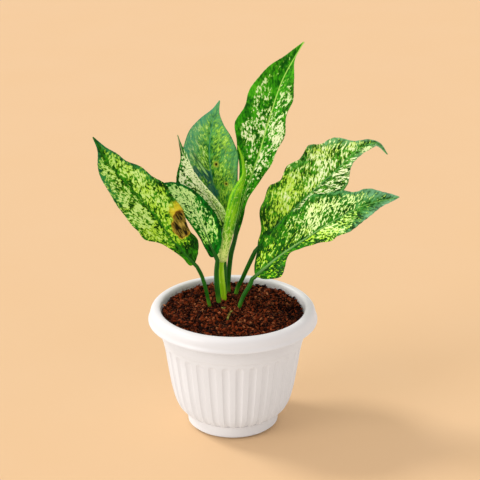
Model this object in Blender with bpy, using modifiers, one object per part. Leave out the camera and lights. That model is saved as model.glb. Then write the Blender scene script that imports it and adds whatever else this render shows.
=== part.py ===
"""A potted chinese evergreen: eight variegated leaves on their stalks, in a fluted white pot.

Metres, +Z up. The origin is on the pot's axis, on the surface that the pot stands on.
Each leaf is a blade and a stalk. The stalks go down through the soil to a buried crown.
"""
import math

import bmesh
import bpy
from mathutils import Matrix, Vector

MM = 0.001
GAP = 0.3 * MM           # between solids that touch

# Pot: outer radius and height, in mm, from the foot to the top of the wall
POT_OUTER = [(32.9, 0), (33.7, 0.8), (34.8, 10.5), (36.8, 11.7), (40.3, 14.6), (43.1, 18.5),
             (45.8, 26), (48.3, 37.5), (50.6, 52), (52.4, 63.5), (53.9, 70.3), (54.3, 72.6), (54.7, 73.2),
             (55.2, 86)]
POT_WALL = 1.8 * MM
POT_FLOOR = 2.6 * MM
POT_TURN_STEPS = 64

# Rim: from its inner edge over the top to its lower edge, and back up through the hollow under it
RIM = [(55.5, 96.2), (56.3, 97.7), (58.4, 98.2), (60.8, 97.5), (62.8, 95.6), (63.9, 93.0), (64.3, 90.3),
       (65.0, 88.3), (64.9, 87.3)]
UNDER_RIM = [(63.2, 87.3), (62.5, 90), (62.0, 92.4), (60.7, 94.6), (58.8, 95.8), (57.3, 94.8), (56.4, 91.5)]

FLUTES = 32
FLUTE_HEIGHTS = (11.9, 70.0)  # mm
FLUTE_HALF_ANGLE = math.radians(3.2)
FLUTE_DEPTH = 1.0 * MM
DRAIN_HOLES = 5
DRAIN_RADIUS = 4 * MM
DRAIN_CIRCLE = 20 * MM

# Soil: radius and height of its top, in mm, from the middle to the wall
SOIL_TOP = [(0, 97.5), (12, 97.3), (28, 96.2), (42, 94.6), (52, 93.0)]

# Crown: the buried stem that the stalks grow from
CROWN_CENTRE = Vector((-4, 15, 66)) * MM
CROWN_HALF_SIZE = Vector((15, 20, 14)) * MM
CROWN_TOP = 76.7 * MM

# Blades
BLADE_THICKNESS = 0.8 * MM
BLADE_STEPS = 16
BLADE_STEPS_ACROSS = 3     # on each half
STALK_FOOT = 1.5 * MM      # the straight start of a stalk, square to the crown's flat top
STALK_END = (3, 0.4)       # mm short of the blade, where the stalk turns in line with it and ends

# Each leaf, in mm and degrees. rib runs from the blade's base to its tip, and left and right are
# half widths at even steps along it. face is where the upper side looks, at the base and the tip.
# fold lifts both halves from the rib, and curl bends them on towards the margin. radii are the
# stalk's, at its foot and at the blade.
LEAVES = {
    "left": dict(
        rib=[(-29, -4, 134), (-45, -4, 153), (-59, -4, 174), (-75, -1, 193), (-92, 4, 211),
             (-104, 7, 232)],
        left=[4.5, 3.7, 5.6, 10.3, 18, 20.6, 18.3, 19.2, 15.6, 14, 7.8, 2.2, 0.4],
        right=[2.5, 14.5, 14.6, 17.8, 19.9, 20.8, 20.5, 18.4, 16, 11.8, 8.2, 3.2, 0.4],
        face=[(0.25, -0.8, 0.55), (0.25, -0.8, 0.55)], fold=14, curl=-8,
        stalk=[(-14, 6, 77), (-18, 2, 97), (-20.5, 0, 111), (-23.5, -2, 123)], radii=(1.3, 1.6)),
    "front": dict(
        rib=[(-13, 8, 135), (-19, 11, 149), (-26, 15, 164), (-35, 19, 176), (-46, 22.5, 184),
             (-59, 25.5, 187)],
        left=[4, 5, 6, 7.5, 9, 10.5, 11, 7.5, 0.4],
        right=[1.5, 9, 13, 13, 12, 9.5, 8, 4.5, 0.4],
        face=[(-0.2, -0.85, 0.45), (0, -0.8, 0.55)], fold=14, curl=-8,
        stalk=[(-9, 8, 77), (-10.7, 7, 97), (-12.4, 7.2, 112), (-12.7, 7.6, 122)], radii=(1.8, 1.9)),
    "centre": dict(
        rib=[(-8, 34, 145), (-11, 38, 166), (-16, 41, 186), (-18, 44, 207), (-16, 47, 227), (-10, 49, 247)],
        left=[1.5, 8, 12.5, 16, 18, 20, 21.5, 21.3, 19.6, 16.5, 9.8, 3.2, 0.4],
        right=[1.5, 7, 11.5, 15.5, 18.5, 20.2, 21, 21.2, 19.7, 15.8, 8.6, 2.2, 0.4],
        face=[(0.1, -0.9, 0.4), (0, -0.85, 0.5)], fold=16, curl=-6,
        stalk=[(-5, 20.5, 77), (-6, 21.5, 97), (-6.5, 25, 113), (-7, 30, 131)], radii=(1.6, 1.9)),
    "narrow": dict(
        rib=[(-6, 24, 152), (-13, 26, 167), (-23, 28, 181), (-32, 31, 194), (-38, 33, 210),
             (-42, 35.5, 224)],
        left=[1.5, 8, 12.5, 14.5, 15.8, 15.8, 15.5, 13.2, 9, 3.8, 1.3, 0.7, 0.4],
        right=[1.5, 6.7, 9.1, 8.5, 7.6, 6.4, 5.5, 5.5, 5.3, 4.5, 2.8, 1.3, 0.4],
        face=[(-0.5, -0.8, 0.4), (-0.6, -0.8, 0.3)], fold=30, curl=-10,
        stalk=[(-10, 16.5, 77), (-10.5, 18, 97), (-10, 20.5, 115), (-7.5, 22.5, 136)], radii=(1.5, 1.7)),
    "tall": dict(
        rib=[(1.5, 31, 141), (8.5, 35, 173), (19, 40, 203), (28, 44, 234), (38, 51, 263), (54, 57, 291)],
        left=[1.8, 2.8, 4.2, 6.5, 11.2, 17.4, 23.5, 22.6, 21.2, 19.5, 12.3, 5.4, 0.4],
        right=[1.8, 3.3, 4, 5.6, 10, 13.5, 15.8, 16, 14, 14.2, 8, 0.8, 0.4],
        face=[(-0.35, -0.85, 0.3), (-0.3, -0.85, 0.3)], fold=18, curl=-8,
        stalk=[(-2, 28, 77), (-3.8, 30, 97), (-3.8, 29.8, 107), (-1.8, 29.8, 127)], radii=(1.8, 2.0)),
    "upper_right": dict(
        rib=[(19, 18, 138), (33, 22, 154), (48, 26.5, 168), (63, 30.5, 182), (79, 33.5, 196), (93, 35, 210),
             (108, 36, 217.5), (118, 35, 208.5)],
        left=[1.5, 8.3, 21.8, 27.2, 26.4, 29.5, 29.7, 27.1, 21.5, 8, 3, 1.8, 0.4],
        right=[1.5, 9, 14, 16, 17.5, 18.5, 19.5, 18.1, 8.1, 5.2, 4.8, 1.5, 0.4],
        face=[(-0.3, -0.55, 0.75), (-0.3, -0.6, 0.75)], fold=16, curl=-8,
        stalk=[(2.5, 21, 77), (2.4, 25.5, 97), (7.8, 22.7, 112), (13.2, 19.8, 126)], radii=(1.45, 1.85)),
    "lower_right": dict(
        rib=[(17, -4, 124), (36, -6, 142), (57, -8, 158), (77, -11, 173), (99, -17, 187), (123, -21, 195)],
        left=[3.5, 13.2, 21.6, 20.5, 22.9, 24.6, 25, 24.3, 20.4, 14, 10.8, 6, 0.4],
        right=[1.5, 13.3, 19.4, 4, 6.5, 10.8, 15, 18.9, 21, 18.1, 12.2, 5.8, 0.4],
        face=[(-0.2, -0.6, 0.8), (-0.15, -0.55, 0.82)], fold=20, curl=-8,
        stalk=[(3, 6, 77), (4.7, -3.7, 97), (7.8, -3.8, 107), (12.6, -3.9, 116)], radii=(1.3, 1.75)),
}

# The youngest leaf is still rolled up: its centre line and the roll's radii, in mm
ROLLED_LINE = [(-9, 14, 128.5), (-8.3, 14.1, 132), (-6.4, 14.5, 141.5), (-3.3, 15.2, 155.5),
               (-0.6, 16, 169.5), (1.7, 16.9, 180.5), (4.7, 17.7, 188.5), (8.1, 18.5, 196.5),
               (8.5, 19.4, 202.5), (6.6, 20.2, 212.5), (3.8, 21, 220.5)]
ROLLED_RADII = [3.4, 4.2, 4.3, 4.7, 4.9, 4.7, 3.5, 1.8, 1.4, 0.9, 0.3]
ROLLED_STALK = [(-6.1, 13, 77), (-7.6, 12.8, 97), (-8.1, 13, 106), (-9, 13.6, 117)]
ROLLED_STALK_RADII = (2.7, 2.5)

SPROUT_LINE = [(-3.6, -26, 91), (-3.9, -26, 96), (-3.2, -24.8, 100), (-0.9, -23.2, 103.7)]
SPROUT_RADII = [0.8, 0.9, 1.0, 0.8]

COLOURS = {  # base colour, roughness
    "pot": ((0.86, 0.85, 0.84), 0.35),
    "soil": ((0.09, 0.03, 0.018), 0.95),
    "crown": ((0.42, 0.33, 0.2), 0.8),
    "blade": ((0.15, 0.38, 0.05), 0.4),
    "young blade": ((0.32, 0.55, 0.04), 0.4),
    "stalk": ((0.03, 0.16, 0.02), 0.4),
    "young stalk": ((0.3, 0.5, 0.03), 0.4),
    "sprout": ((0.25, 0.26, 0.05), 0.7),
}


def clear_scene():
    for obj in list(bpy.data.objects):
        bpy.data.objects.remove(obj, do_unlink=True)


def new_collection(name):
    collection = bpy.data.collections.new(name)
    bpy.context.scene.collection.children.link(collection)
    return collection


def material(name):
    if name in bpy.data.materials:
        return bpy.data.materials[name]
    colour, roughness = COLOURS[name]
    made = bpy.data.materials.new(name)
    made.use_nodes = True
    shader = made.node_tree.nodes["Principled BSDF"]
    shader.inputs["Base Color"].default_value = (*colour, 1)
    shader.inputs["Roughness"].default_value = roughness
    shader.inputs["Metallic"].default_value = 0
    return made


def add_object(name, mesh, collection, finish=None):
    obj = bpy.data.objects.new(name, mesh)
    collection.objects.link(obj)
    if finish:
        mesh.materials.append(material(finish))
    return obj


def mesh_from(name, shape):
    """Turns a bmesh into a mesh, and frees it."""
    mesh = bpy.data.meshes.new(name)
    shape.to_mesh(mesh)
    shape.free()
    return mesh


def smooth_between(values, place):
    """The value at place, 0 to 1, on a Catmull-Rom curve through evenly spaced values."""
    last = len(values) - 1
    start = min(int(place * last), last - 1)
    step = place * last - start
    before = values[start - 1] if start else 2 * values[0] - values[1]
    after = values[start + 2] if start + 2 <= last else 2 * values[last] - values[last - 1]
    here, there = values[start], values[start + 1]
    return 0.5 * (2 * here + (there - before) * step
                  + (2 * before - 5 * here + 4 * there - after) * step ** 2
                  + (3 * here - 3 * there + after - before) * step ** 3)


def points(rows):
    return [Vector(row) * MM for row in rows]


def cut(obj, cutter):
    boolean = obj.modifiers.new(f"cut by {cutter.name}", "BOOLEAN")
    boolean.operation = "DIFFERENCE"
    boolean.object = cutter


def hide_cutter(obj):
    obj.hide_render = True
    obj.display_type = "WIRE"


# Turned shapes

def shrunk(profile, distance):
    """A profile moved inwards by distance: each point goes along the normal between its neighbours."""
    moved = []
    for index, (radius, height) in enumerate(profile):
        low = profile[max(index - 1, 0)]
        high = profile[min(index + 1, len(profile) - 1)]
        along = Vector((high[0] - low[0], high[1] - low[1])).normalized()
        moved.append((radius - along.y * distance, height + along.x * distance))
    return moved


def turned(name, profile, collection, finish, steps=POT_TURN_STEPS):
    """Turns a profile of (radius, height) about the Z axis. It runs down the outer side."""
    shape = bmesh.new()
    verts = [shape.verts.new((radius, 0, height)) for radius, height in profile]
    for first, second in zip(verts, verts[1:]):
        shape.edges.new((first, second))
    obj = add_object(name, mesh_from(name, shape), collection, finish)
    screw = obj.modifiers.new("turn", "SCREW")
    screw.axis = "Z"
    screw.steps = screw.render_steps = steps
    screw.use_merge_vertices = True
    screw.merge_threshold = 0.01 * MM
    return obj


def in_metres(profile):
    return [(radius * MM, height * MM) for radius, height in profile]


def pot_inner(clearance):
    """The inside of the pot, from the middle of its floor to the top of the wall."""
    wall = shrunk(in_metres(POT_OUTER), POT_WALL + clearance)[2:]
    floor = POT_FLOOR + clearance
    corner = wall[0][0]
    return [(0, floor), (corner - 1.5 * MM, floor), (corner, floor + 1.5 * MM)] + wall


def make_pot(collection, cutters):
    profile = pot_inner(0) + in_metres(RIM + UNDER_RIM + POT_OUTER[::-1]) + [(0, 0)]
    pot = turned("pot", profile, collection, "pot")
    cut(pot, make_flute_cutter(cutters))
    cut(pot, make_drain_cutter(cutters))
    return pot


def wall_radius(height):
    """The wall's outer radius at a height."""
    outer = in_metres(POT_OUTER)
    for (radius, low), (next_radius, high) in zip(outer, outer[1:]):
        if low <= height <= high:
            return radius + (next_radius - radius) * (height - low) / (high - low)
    return outer[-1][0]


def make_flute_cutter(cutters):
    """A long bar for each flute, which follows the wall and has a rounded top."""
    low, high = (height * MM for height in FLUTE_HEIGHTS)
    half_width = FLUTE_HALF_ANGLE * wall_radius(high)
    steps = 6
    heights = [low + (high - half_width - low) * index / steps for index in range(steps + 1)]
    heights += [high - half_width * (1 - math.sin(math.radians(turn))) for turn in (40, 75)]
    shape = bmesh.new()
    for flute in range(FLUTES):
        middle = math.tau * (flute + 0.5) / FLUTES
        rings = []
        for height in heights:
            above = max(height - (high - half_width), 0) / half_width
            half_angle = FLUTE_HALF_ANGLE * math.sqrt(1 - above ** 2)
            radius = wall_radius(height)
            back, front = radius - FLUTE_DEPTH, radius + FLUTE_DEPTH
            corners = [(back, -1), (back, 1), (front, 1), (front, -1)]
            rings.append([shape.verts.new((reach * math.cos(middle + side * half_angle),
                                           reach * math.sin(middle + side * half_angle), height))
                          for reach, side in corners])
        for lower, upper in zip(rings, rings[1:]):
            for index in range(4):
                following = (index + 1) % 4
                shape.faces.new((lower[index], lower[following], upper[following], upper[index]))
        shape.faces.new(rings[0][::-1])
        shape.faces.new(rings[-1])
    bmesh.ops.recalc_face_normals(shape, faces=shape.faces)
    cutter = add_object("flute_cutter", mesh_from("flute_cutter", shape), cutters)
    hide_cutter(cutter)
    return cutter


def make_drain_cutter(cutters):
    shape = bmesh.new()
    for hole in range(DRAIN_HOLES):
        angle = math.tau * hole / DRAIN_HOLES
        centre = Vector((DRAIN_CIRCLE * math.cos(angle), DRAIN_CIRCLE * math.sin(angle), POT_FLOOR / 2))
        bmesh.ops.create_cone(shape, cap_ends=True, segments=16, radius1=DRAIN_RADIUS, radius2=DRAIN_RADIUS,
                              depth=4 * POT_FLOOR, matrix=Matrix.Translation(centre))
    cutter = add_object("drain_cutter", mesh_from("drain_cutter", shape), cutters)
    hide_cutter(cutter)
    return cutter


def make_soil(collection, cutters, buried):
    """The soil fills the pot up to its heaped top, with a pocket around each buried piece."""
    top = in_metres(SOIL_TOP)
    rim_height = top[-1][1]
    inside = [point for point in pot_inner(GAP) if point[1] < rim_height - 6 * MM]
    edge = (inside[-1][0] + 0.8 * MM, rim_height - 1 * MM)
    soil = turned("soil", top + [edge] + inside[::-1], collection, "soil")
    for pocket in buried:
        cut(soil, pocket)
    return soil


def make_crown(collection, name="crown", grow=0.0):
    """The buried stem: a rounded lump with a flat top, which the stalks stand on."""
    shape = bmesh.new()
    bmesh.ops.create_uvsphere(shape, u_segments=20, v_segments=12, radius=1)
    size = CROWN_HALF_SIZE + Vector((grow, grow, grow))
    bmesh.ops.scale(shape, vec=size, verts=shape.verts)
    bmesh.ops.translate(shape, vec=CROWN_CENTRE, verts=shape.verts)
    everything = shape.verts[:] + shape.edges[:] + shape.faces[:]
    top = bmesh.ops.bisect_plane(shape, geom=everything, plane_co=(0, 0, CROWN_TOP + grow),
                                 plane_no=(0, 0, 1), clear_outer=True)
    rim = [edge for edge in top["geom_cut"] if isinstance(edge, bmesh.types.BMEdge)]
    bmesh.ops.contextual_create(shape, geom=rim)
    bmesh.ops.recalc_face_normals(shape, faces=shape.faces)
    finish = None if grow else "crown"
    return add_object(name, mesh_from(name, shape), collection, finish)


# Tubes

def tube(name, line, radii, collection, finish=None, resolution=3):
    """A curve with filled caps through a line of points, made into a welded mesh."""
    curve = bpy.data.curves.new(name, "CURVE")
    curve.dimensions = "3D"
    curve.bevel_depth = 1
    curve.bevel_resolution = resolution
    curve.use_fill_caps = True
    spline = curve.splines.new("POLY")
    spline.points.add(len(line) - 1)
    for point, place, radius in zip(spline.points, line, radii):
        point.co = (*place, 1)
        point.radius = radius
    guide = bpy.data.objects.new(name, curve)
    collection.objects.link(guide)
    evaluated = guide.evaluated_get(bpy.context.evaluated_depsgraph_get())
    mesh = bpy.data.meshes.new_from_object(evaluated)
    bpy.data.objects.remove(guide)
    shape = bmesh.new()
    shape.from_mesh(mesh)
    bmesh.ops.remove_doubles(shape, verts=shape.verts, dist=0.01 * MM)
    bmesh.ops.recalc_face_normals(shape, faces=shape.faces)
    shape.to_mesh(mesh)
    shape.free()
    mesh.shade_smooth()
    mesh.set_sharp_from_angle(angle=math.radians(50))
    return add_object(name, mesh, collection, finish)


def smooth_line(rows, steps):
    rows = points(rows)
    return [smooth_between(rows, index / steps) for index in range(steps + 1)]


def make_stalk(name, rows, blade_line, ends, collection, cutters, finish):
    """A stalk and the cutter for its pocket in the soil, one gap wider.

    The foot starts square to the crown, and the top ends in line with the blade, a gap short of it.
    ends holds the radii of both, in mm.
    """
    base = Vector(blade_line[0])
    towards = (Vector(blade_line[1]) - base).normalized()
    straight, end = (base - towards * distance for distance in STALK_END)
    steps = 2 * len(rows)
    line = smooth_line(rows + [straight], steps)
    foot, top = ends
    radii = [(foot + (top - foot) * index / steps) * MM for index in range(steps + 1)]
    line = [line[0], line[0] + Vector((0, 0, STALK_FOOT))] + line[1:] + [end * MM]
    radii = [radii[0]] + radii + [radii[-1]]
    tube(name, line, radii, collection, finish)
    pocket_line = [line[0] - Vector((0, 0, 2 * GAP))] + line[1:]
    pocket = tube(f"{name}_pocket", pocket_line, [radius + GAP for radius in radii], cutters)
    hide_cutter(pocket)
    return pocket


# Blades

def blade_sheet(leaf):
    """The blade's middle surface: a grid that is laid across the rib at even steps."""
    rib = points(leaf["rib"])
    face_start, face_end = (Vector(face) for face in leaf["face"])
    shape = bmesh.new()
    rows = []
    for index in range(BLADE_STEPS + 1):
        place = index / BLADE_STEPS
        centre = smooth_between(rib, place)
        ahead = smooth_between(rib, min(place + 0.01, 1))
        behind = smooth_between(rib, max(place - 0.01, 0))
        along = (ahead - behind).normalized()
        upper = face_start.lerp(face_end, place)
        upper = (upper - along * upper.dot(along)).normalized()
        across = along.cross(upper)
        row = []
        for step in range(-BLADE_STEPS_ACROSS, BLADE_STEPS_ACROSS + 1):
            reach = abs(step) / BLADE_STEPS_ACROSS
            side = "left" if step < 0 else "right"
            width = max(smooth_between(leaf[side], place), 0.3) * MM * reach
            lift = math.radians(leaf["fold"] + leaf["curl"] * reach / 2)
            sideways = across * math.copysign(width * math.cos(lift), step)
            row.append(shape.verts.new(centre + sideways + upper * width * math.sin(lift)))
        rows.append(row)
    for row, following in zip(rows, rows[1:]):
        for index in range(2 * BLADE_STEPS_ACROSS):
            shape.faces.new((row[index], row[index + 1], following[index + 1], following[index]))
    return shape


def make_blade(name, leaf, collection):
    mesh = mesh_from(name, blade_sheet(leaf))
    mesh.shade_smooth()
    blade = add_object(name, mesh, collection, "blade")
    solidify = blade.modifiers.new("thickness", "SOLIDIFY")
    solidify.thickness = BLADE_THICKNESS
    solidify.offset = 0
    return blade


def make_rolled_blade(collection):
    """The young leaf: a tube along its centre line, as thick as the roll is at each point."""
    steps = 2 * (len(ROLLED_LINE) - 1)
    radii = [smooth_between(ROLLED_RADII, index / steps) * MM for index in range(steps + 1)]
    tube("leaf_rolled_blade", smooth_line(ROLLED_LINE, steps), radii, collection, "young blade")


def make_sprout(collection, cutters):
    """A small shoot that comes up in front of the stalks, and the cutter for its pocket."""
    line = points(SPROUT_LINE)
    radii = [radius * MM for radius in SPROUT_RADII]
    tube("sprout", line, radii, collection, "sprout", resolution=2)
    pocket_line = [line[0] - Vector((0, 0, GAP))] + line[1:]
    pocket = tube("sprout_pocket", pocket_line, [radius + GAP for radius in radii], cutters)
    hide_cutter(pocket)
    return pocket


def build():
    clear_scene()
    plant = new_collection("potted_chinese_evergreen")
    cutters = new_collection("cutters")
    make_pot(plant, cutters)
    make_crown(plant)
    crown_pocket = make_crown(cutters, "crown_pocket", GAP)
    hide_cutter(crown_pocket)
    pockets = [crown_pocket]
    for name, leaf in LEAVES.items():
        make_blade(f"leaf_{name}_blade", leaf, plant)
        pockets.append(make_stalk(f"leaf_{name}_stalk", leaf["stalk"], leaf["rib"], leaf["radii"],
                                  plant, cutters, "stalk"))
    make_rolled_blade(plant)
    pockets.append(make_stalk("leaf_rolled_stalk", ROLLED_STALK, ROLLED_LINE, ROLLED_STALK_RADII,
                              plant, cutters, "young stalk"))
    pockets.append(make_sprout(plant, cutters))
    make_soil(plant, cutters, pockets)


build()
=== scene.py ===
# %% [markdown]
# # A potted chinese evergreen
#
# The CAD model holds this plant as plain solids: a white pot, its soil, the buried crown, and
# eight leaves, each a blade on its stalk. This lesson dresses them one by one. Everything is in
# metres. The pot stands on z = 0, and its axis is the Z axis.

import math
import random

import bmesh
import bpy
import numpy as np
from mathutils import Matrix, Vector, noise


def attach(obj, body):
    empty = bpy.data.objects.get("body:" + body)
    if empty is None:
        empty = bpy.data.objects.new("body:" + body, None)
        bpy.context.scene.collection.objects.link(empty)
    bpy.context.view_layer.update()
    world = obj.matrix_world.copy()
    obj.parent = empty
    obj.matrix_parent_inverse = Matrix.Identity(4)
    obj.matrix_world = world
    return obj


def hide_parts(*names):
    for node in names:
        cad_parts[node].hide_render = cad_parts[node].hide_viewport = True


MM = 0.001
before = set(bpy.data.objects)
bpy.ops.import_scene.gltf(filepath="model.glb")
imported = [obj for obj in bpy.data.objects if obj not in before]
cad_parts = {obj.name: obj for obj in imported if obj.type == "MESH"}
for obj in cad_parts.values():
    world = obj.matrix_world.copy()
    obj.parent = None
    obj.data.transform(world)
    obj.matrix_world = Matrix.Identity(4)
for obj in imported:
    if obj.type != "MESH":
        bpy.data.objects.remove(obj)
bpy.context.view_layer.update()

# %% [markdown]
# ## The stage
#
# A small pot on a table is seen from standing height, so the camera looks down by about 22
# degrees, and a long lens keeps the rim's ellipse true. The floor is a plain warm one. It throws
# some of its colour up at the white pot, as a table does.

# %% Camera
AIM = Vector((5.5, 0, 152.2)) * MM
DISTANCE = 1.4
LOOKING_DOWN = math.radians(22.07)
LENS = 138.8  # mm, on a 36 mm sensor


def add_object(name, data):
    """An object in the scene, with a mesh, a lamp or a camera as its data."""
    made = bpy.data.objects.new(name, data)
    bpy.context.scene.collection.objects.link(made)
    return made


camera = add_object("camera", bpy.data.cameras.new("camera"))
camera.data.lens = LENS
camera.location = AIM + DISTANCE * Vector((0, -math.cos(LOOKING_DOWN), math.sin(LOOKING_DOWN)))
camera.rotation_euler = (math.pi / 2 - LOOKING_DOWN, 0, 0)
bpy.context.scene.camera = camera
bpy.context.scene.view_settings.view_transform = "Standard"
print("camera at", [round(value, 3) for value in camera.location])


# %% [markdown]
# ## Colours and shader arithmetic
#
# Colours are given as six-digit codes and turned into the linear light that a shader works in.
# A pattern is easier to read as a formula than as a web of nodes. A `Signal` wraps one output
# socket, and a plus or minus on it adds the Math node that does the sum. A `Recipe` holds one
# material, and its `node` method adds any other node: first its settings, then its sockets.
# Most finishes are colours laid over each other with `lay`, and `finished` adds gloss and relief.

# %% Colours
def colour(code):
    """Linear red, green, blue and alpha from a six-digit screen colour."""
    screen = [int(code[index:index + 2], 16) / 255 for index in (0, 2, 4)]
    linear = [value / 12.92 if value <= 0.04045 else ((value + 0.055) / 1.055) ** 2.4 for value in screen]
    return (*linear, 1)


print("mid grey is", round(colour("808080")[0], 3), "in linear light")


# %% Signals
def feed(target, value):
    """Links a signal to an input socket, or sets the socket's own value."""
    if isinstance(value, Signal):
        target.id_data.links.new(value.socket, target)
    else:
        target.default_value = value


class Signal:
    """An output socket that takes part in sums. Each sum adds a Math node to its tree."""

    def __init__(self, socket):
        self.socket = socket

    def math(self, operation, *values):
        node = self.socket.id_data.nodes.new("ShaderNodeMath")
        node.operation = operation
        for target, value in zip(node.inputs, values):
            feed(target, value)
        return Signal(node.outputs[0])

    def __add__(self, other):
        return self.math("ADD", self, other)

    __radd__ = __add__

    def __mul__(self, other):
        return self.math("MULTIPLY", self, other)

    __rmul__ = __mul__

    def __sub__(self, other):
        return self.math("SUBTRACT", self, other)

    def __rsub__(self, other):
        return self.math("SUBTRACT", other, self)

    def __truediv__(self, other):
        return self.math("DIVIDE", self, other)

    def __pow__(self, other):
        return self.math("POWER", self, other)

    def __abs__(self):
        return self.math("ABSOLUTE", self)


print("a Signal adds, subtracts, multiplies, divides, and raises to a power")


# %% Recipes
MIX_INPUTS = (0, 6, 7)    # where a Mix node takes its share and its two colours
MIX_OUTPUT = 2            # and where it gives the colour between them


class Recipe:
    """A material that is being put together around its Principled shader."""

    def __init__(self, name, **sockets):
        self.material = bpy.data.materials.new(name)
        self.material.use_nodes = True
        self.tree = self.material.node_tree
        self.shader = self.tree.nodes["Principled BSDF"]
        self.dress(**sockets)

    def dress(self, **sockets):
        """Feeds the shader. Coat_Weight stands for the socket Coat Weight."""
        for name, value in sockets.items():
            feed(self.shader.inputs[name.replace("_", " ")], value)

    def node(self, kind, settings=None, sockets=None, output=0):
        """Adds a node of any kind, with its settings first and then its sockets."""
        made = self.tree.nodes.new("ShaderNode" + kind)
        for setting, value in (settings or {}).items():
            setattr(made, setting, value)
        for socket, value in (sockets or {}).items():
            feed(made.inputs[socket], value)
        return Signal(made.outputs[output])

    def place(self):
        """Where a point is on the object, in metres."""
        return self.node("TexCoord", output="Object")

    def uv(self, name):
        return self.node("UVMap", {"uv_map": name})

    def parts(self, vector):
        """The x, y and z of a vector, as three signals."""
        split = self.node("SeparateXYZ", sockets={"Vector": vector}).socket.node
        return [Signal(output) for output in split.outputs]

    def vector(self, x, y, z):
        return self.node("CombineXYZ", sockets={"X": x, "Y": y, "Z": z})

    def stretched(self, vector, scale):
        """A vector times a scale along each axis."""
        return self.node("VectorMath", {"operation": "MULTIPLY"}, {0: vector, 1: scale})

    def noise(self, vector, scale, detail=2.0, roughness=0.5):
        sockets = {"Vector": vector, "Scale": scale, "Detail": detail, "Roughness": roughness}
        return self.node("TexNoise", sockets=sockets)

    def noise_at(self, x, y, z, detail, roughness=0.5):
        """Noise at three coordinates that are already in the noise's own scale."""
        return self.noise(self.vector(x, y, z), 1.0, detail, roughness)

    def rise(self, value, low, high):
        """0 below low, 1 above high and smooth between. With low above high it falls instead."""
        sockets = {"Value": value, "From Min": low, "From Max": high}
        return self.node("MapRange", {"interpolation_type": "SMOOTHSTEP"}, sockets)

    def mix(self, share, first, second):
        """From the first colour to the second."""
        sockets = dict(zip(MIX_INPUTS, (share, first, second)))
        return self.node("Mix", {"data_type": "RGBA"}, sockets, MIX_OUTPUT)

    def lay(self, shade, code, value, low, high, strength=None):
        """Lays a colour over a shade where a value rises from low to high."""
        share = self.rise(value, low, high)
        if strength is not None:
            share = share * strength
        return self.mix(share, shade, colour(code))

    def bump(self, height, distance, strength=1.0):
        sockets = {"Height": height, "Distance": distance, "Strength": strength}
        return self.node("Bump", sockets=sockets)

    def finished(self, shade, grain, gloss, relief):
        """The material, once its roughness and its bump follow a grain.

        gloss is the roughness and what the grain adds to it. relief is the bump's distance in
        metres and its strength.
        """
        rough, added = gloss
        self.dress(Base_Color=shade, Roughness=rough + grain * added, Normal=self.bump(grain, *relief))
        return self.material


print("a Recipe has", ", ".join(name for name in vars(Recipe) if not name.startswith("_")))

# %% [markdown]
# ## Floor and light
#
# A low, soft sun from the left and a little behind throws the pot's shadow to the right, and a
# weaker side light gives the flutes their shade. The bright sky around the stage fills the front.
# Only the camera sees the colours of the backdrop and of the floor: Is Camera Ray picks them, so
# that the background is never brightened by more light on the plant, and the warm floor doesn't
# stain the white pot.

# %% Floor and backdrop
FLOOR_HALF_SIZE = 6.0
BACKDROP = colour("eecfab")
FLOOR = colour("eac393")
BOUNCE = colour("ebe3da")     # the floor's colour as the pot and the plant see it
FLOOR_CLOUDS = 9.0            # clouds of tone for each metre of floor
FLOOR_UNEVENNESS = 0.25       # how far they take the floor towards the backdrop


def mesh_from(name, shape):
    """A mesh from a bmesh that is no longer needed."""
    mesh = bpy.data.meshes.new(name)
    shape.to_mesh(mesh)
    shape.free()
    return mesh


shape = bmesh.new()
bmesh.ops.create_grid(shape, x_segments=1, y_segments=1, size=FLOOR_HALF_SIZE)
floor = add_object("floor", mesh_from("floor", shape))

paint = Recipe("painted table", Roughness=0.9)
mottle = paint.noise(paint.place(), FLOOR_CLOUDS)
seen = paint.node("LightPath", output="Is Camera Ray")
paint.dress(Base_Color=paint.mix(seen, BOUNCE, paint.mix(mottle * FLOOR_UNEVENNESS, FLOOR, BACKDROP)))
floor.data.materials.append(paint.material)
print("floor", 2 * FLOOR_HALF_SIZE, "m across")

# %% Lamps and sky
LAMPS = {  # where a light comes from, its strength, its width in degrees and its tint
    "sun": ((-1.0, 0.42, 0.95), 1.32, 16, (1.0, 0.99, 0.97)),
    "side light": ((-1.0, -0.6, 0.5), 0.8, 30, (1.0, 0.97, 0.94)),
}
SKY = (1.0, 0.955, 0.94, 1)
SKY_STRENGTH = 0.74

for name, (comes_from, strength, width, tint) in LAMPS.items():
    data = bpy.data.lights.new(name, "SUN")
    data.energy = strength
    data.angle = math.radians(width)
    data.color = tint
    lamp = add_object(name, data)
    lamp.rotation_euler = Vector(comes_from).to_track_quat("Z", "Y").to_euler()

sky = bpy.data.worlds.new("sky")
bpy.context.scene.world = sky
sky.use_nodes = True
sky_nodes = sky.node_tree.nodes
seen = sky_nodes.new("ShaderNodeLightPath").outputs["Is Camera Ray"]
background = sky_nodes["Background"]
choice = sky_nodes.new("ShaderNodeMix")
choice.data_type = "RGBA"
for socket, value in zip(MIX_INPUTS, (Signal(seen), SKY, BACKDROP)):
    feed(choice.inputs[socket], value)
feed(background.inputs["Color"], Signal(choice.outputs[MIX_OUTPUT]))
feed(background.inputs["Strength"], Signal(seen) * (1 - SKY_STRENGTH) + SKY_STRENGTH)
print(" and ".join(LAMPS), "are set under a sky of strength", SKY_STRENGTH)

# %% [markdown]
# ## Mesh helpers
#
# Most pieces here are grids that were bent into shape: the wall of the pot, a blade, a tube. A
# grid's points are worked out with numpy, row by row. `smooth_between` draws a smooth curve
# through a few evenly spaced values, which is how a handful of widths becomes a leaf's outline.


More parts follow.
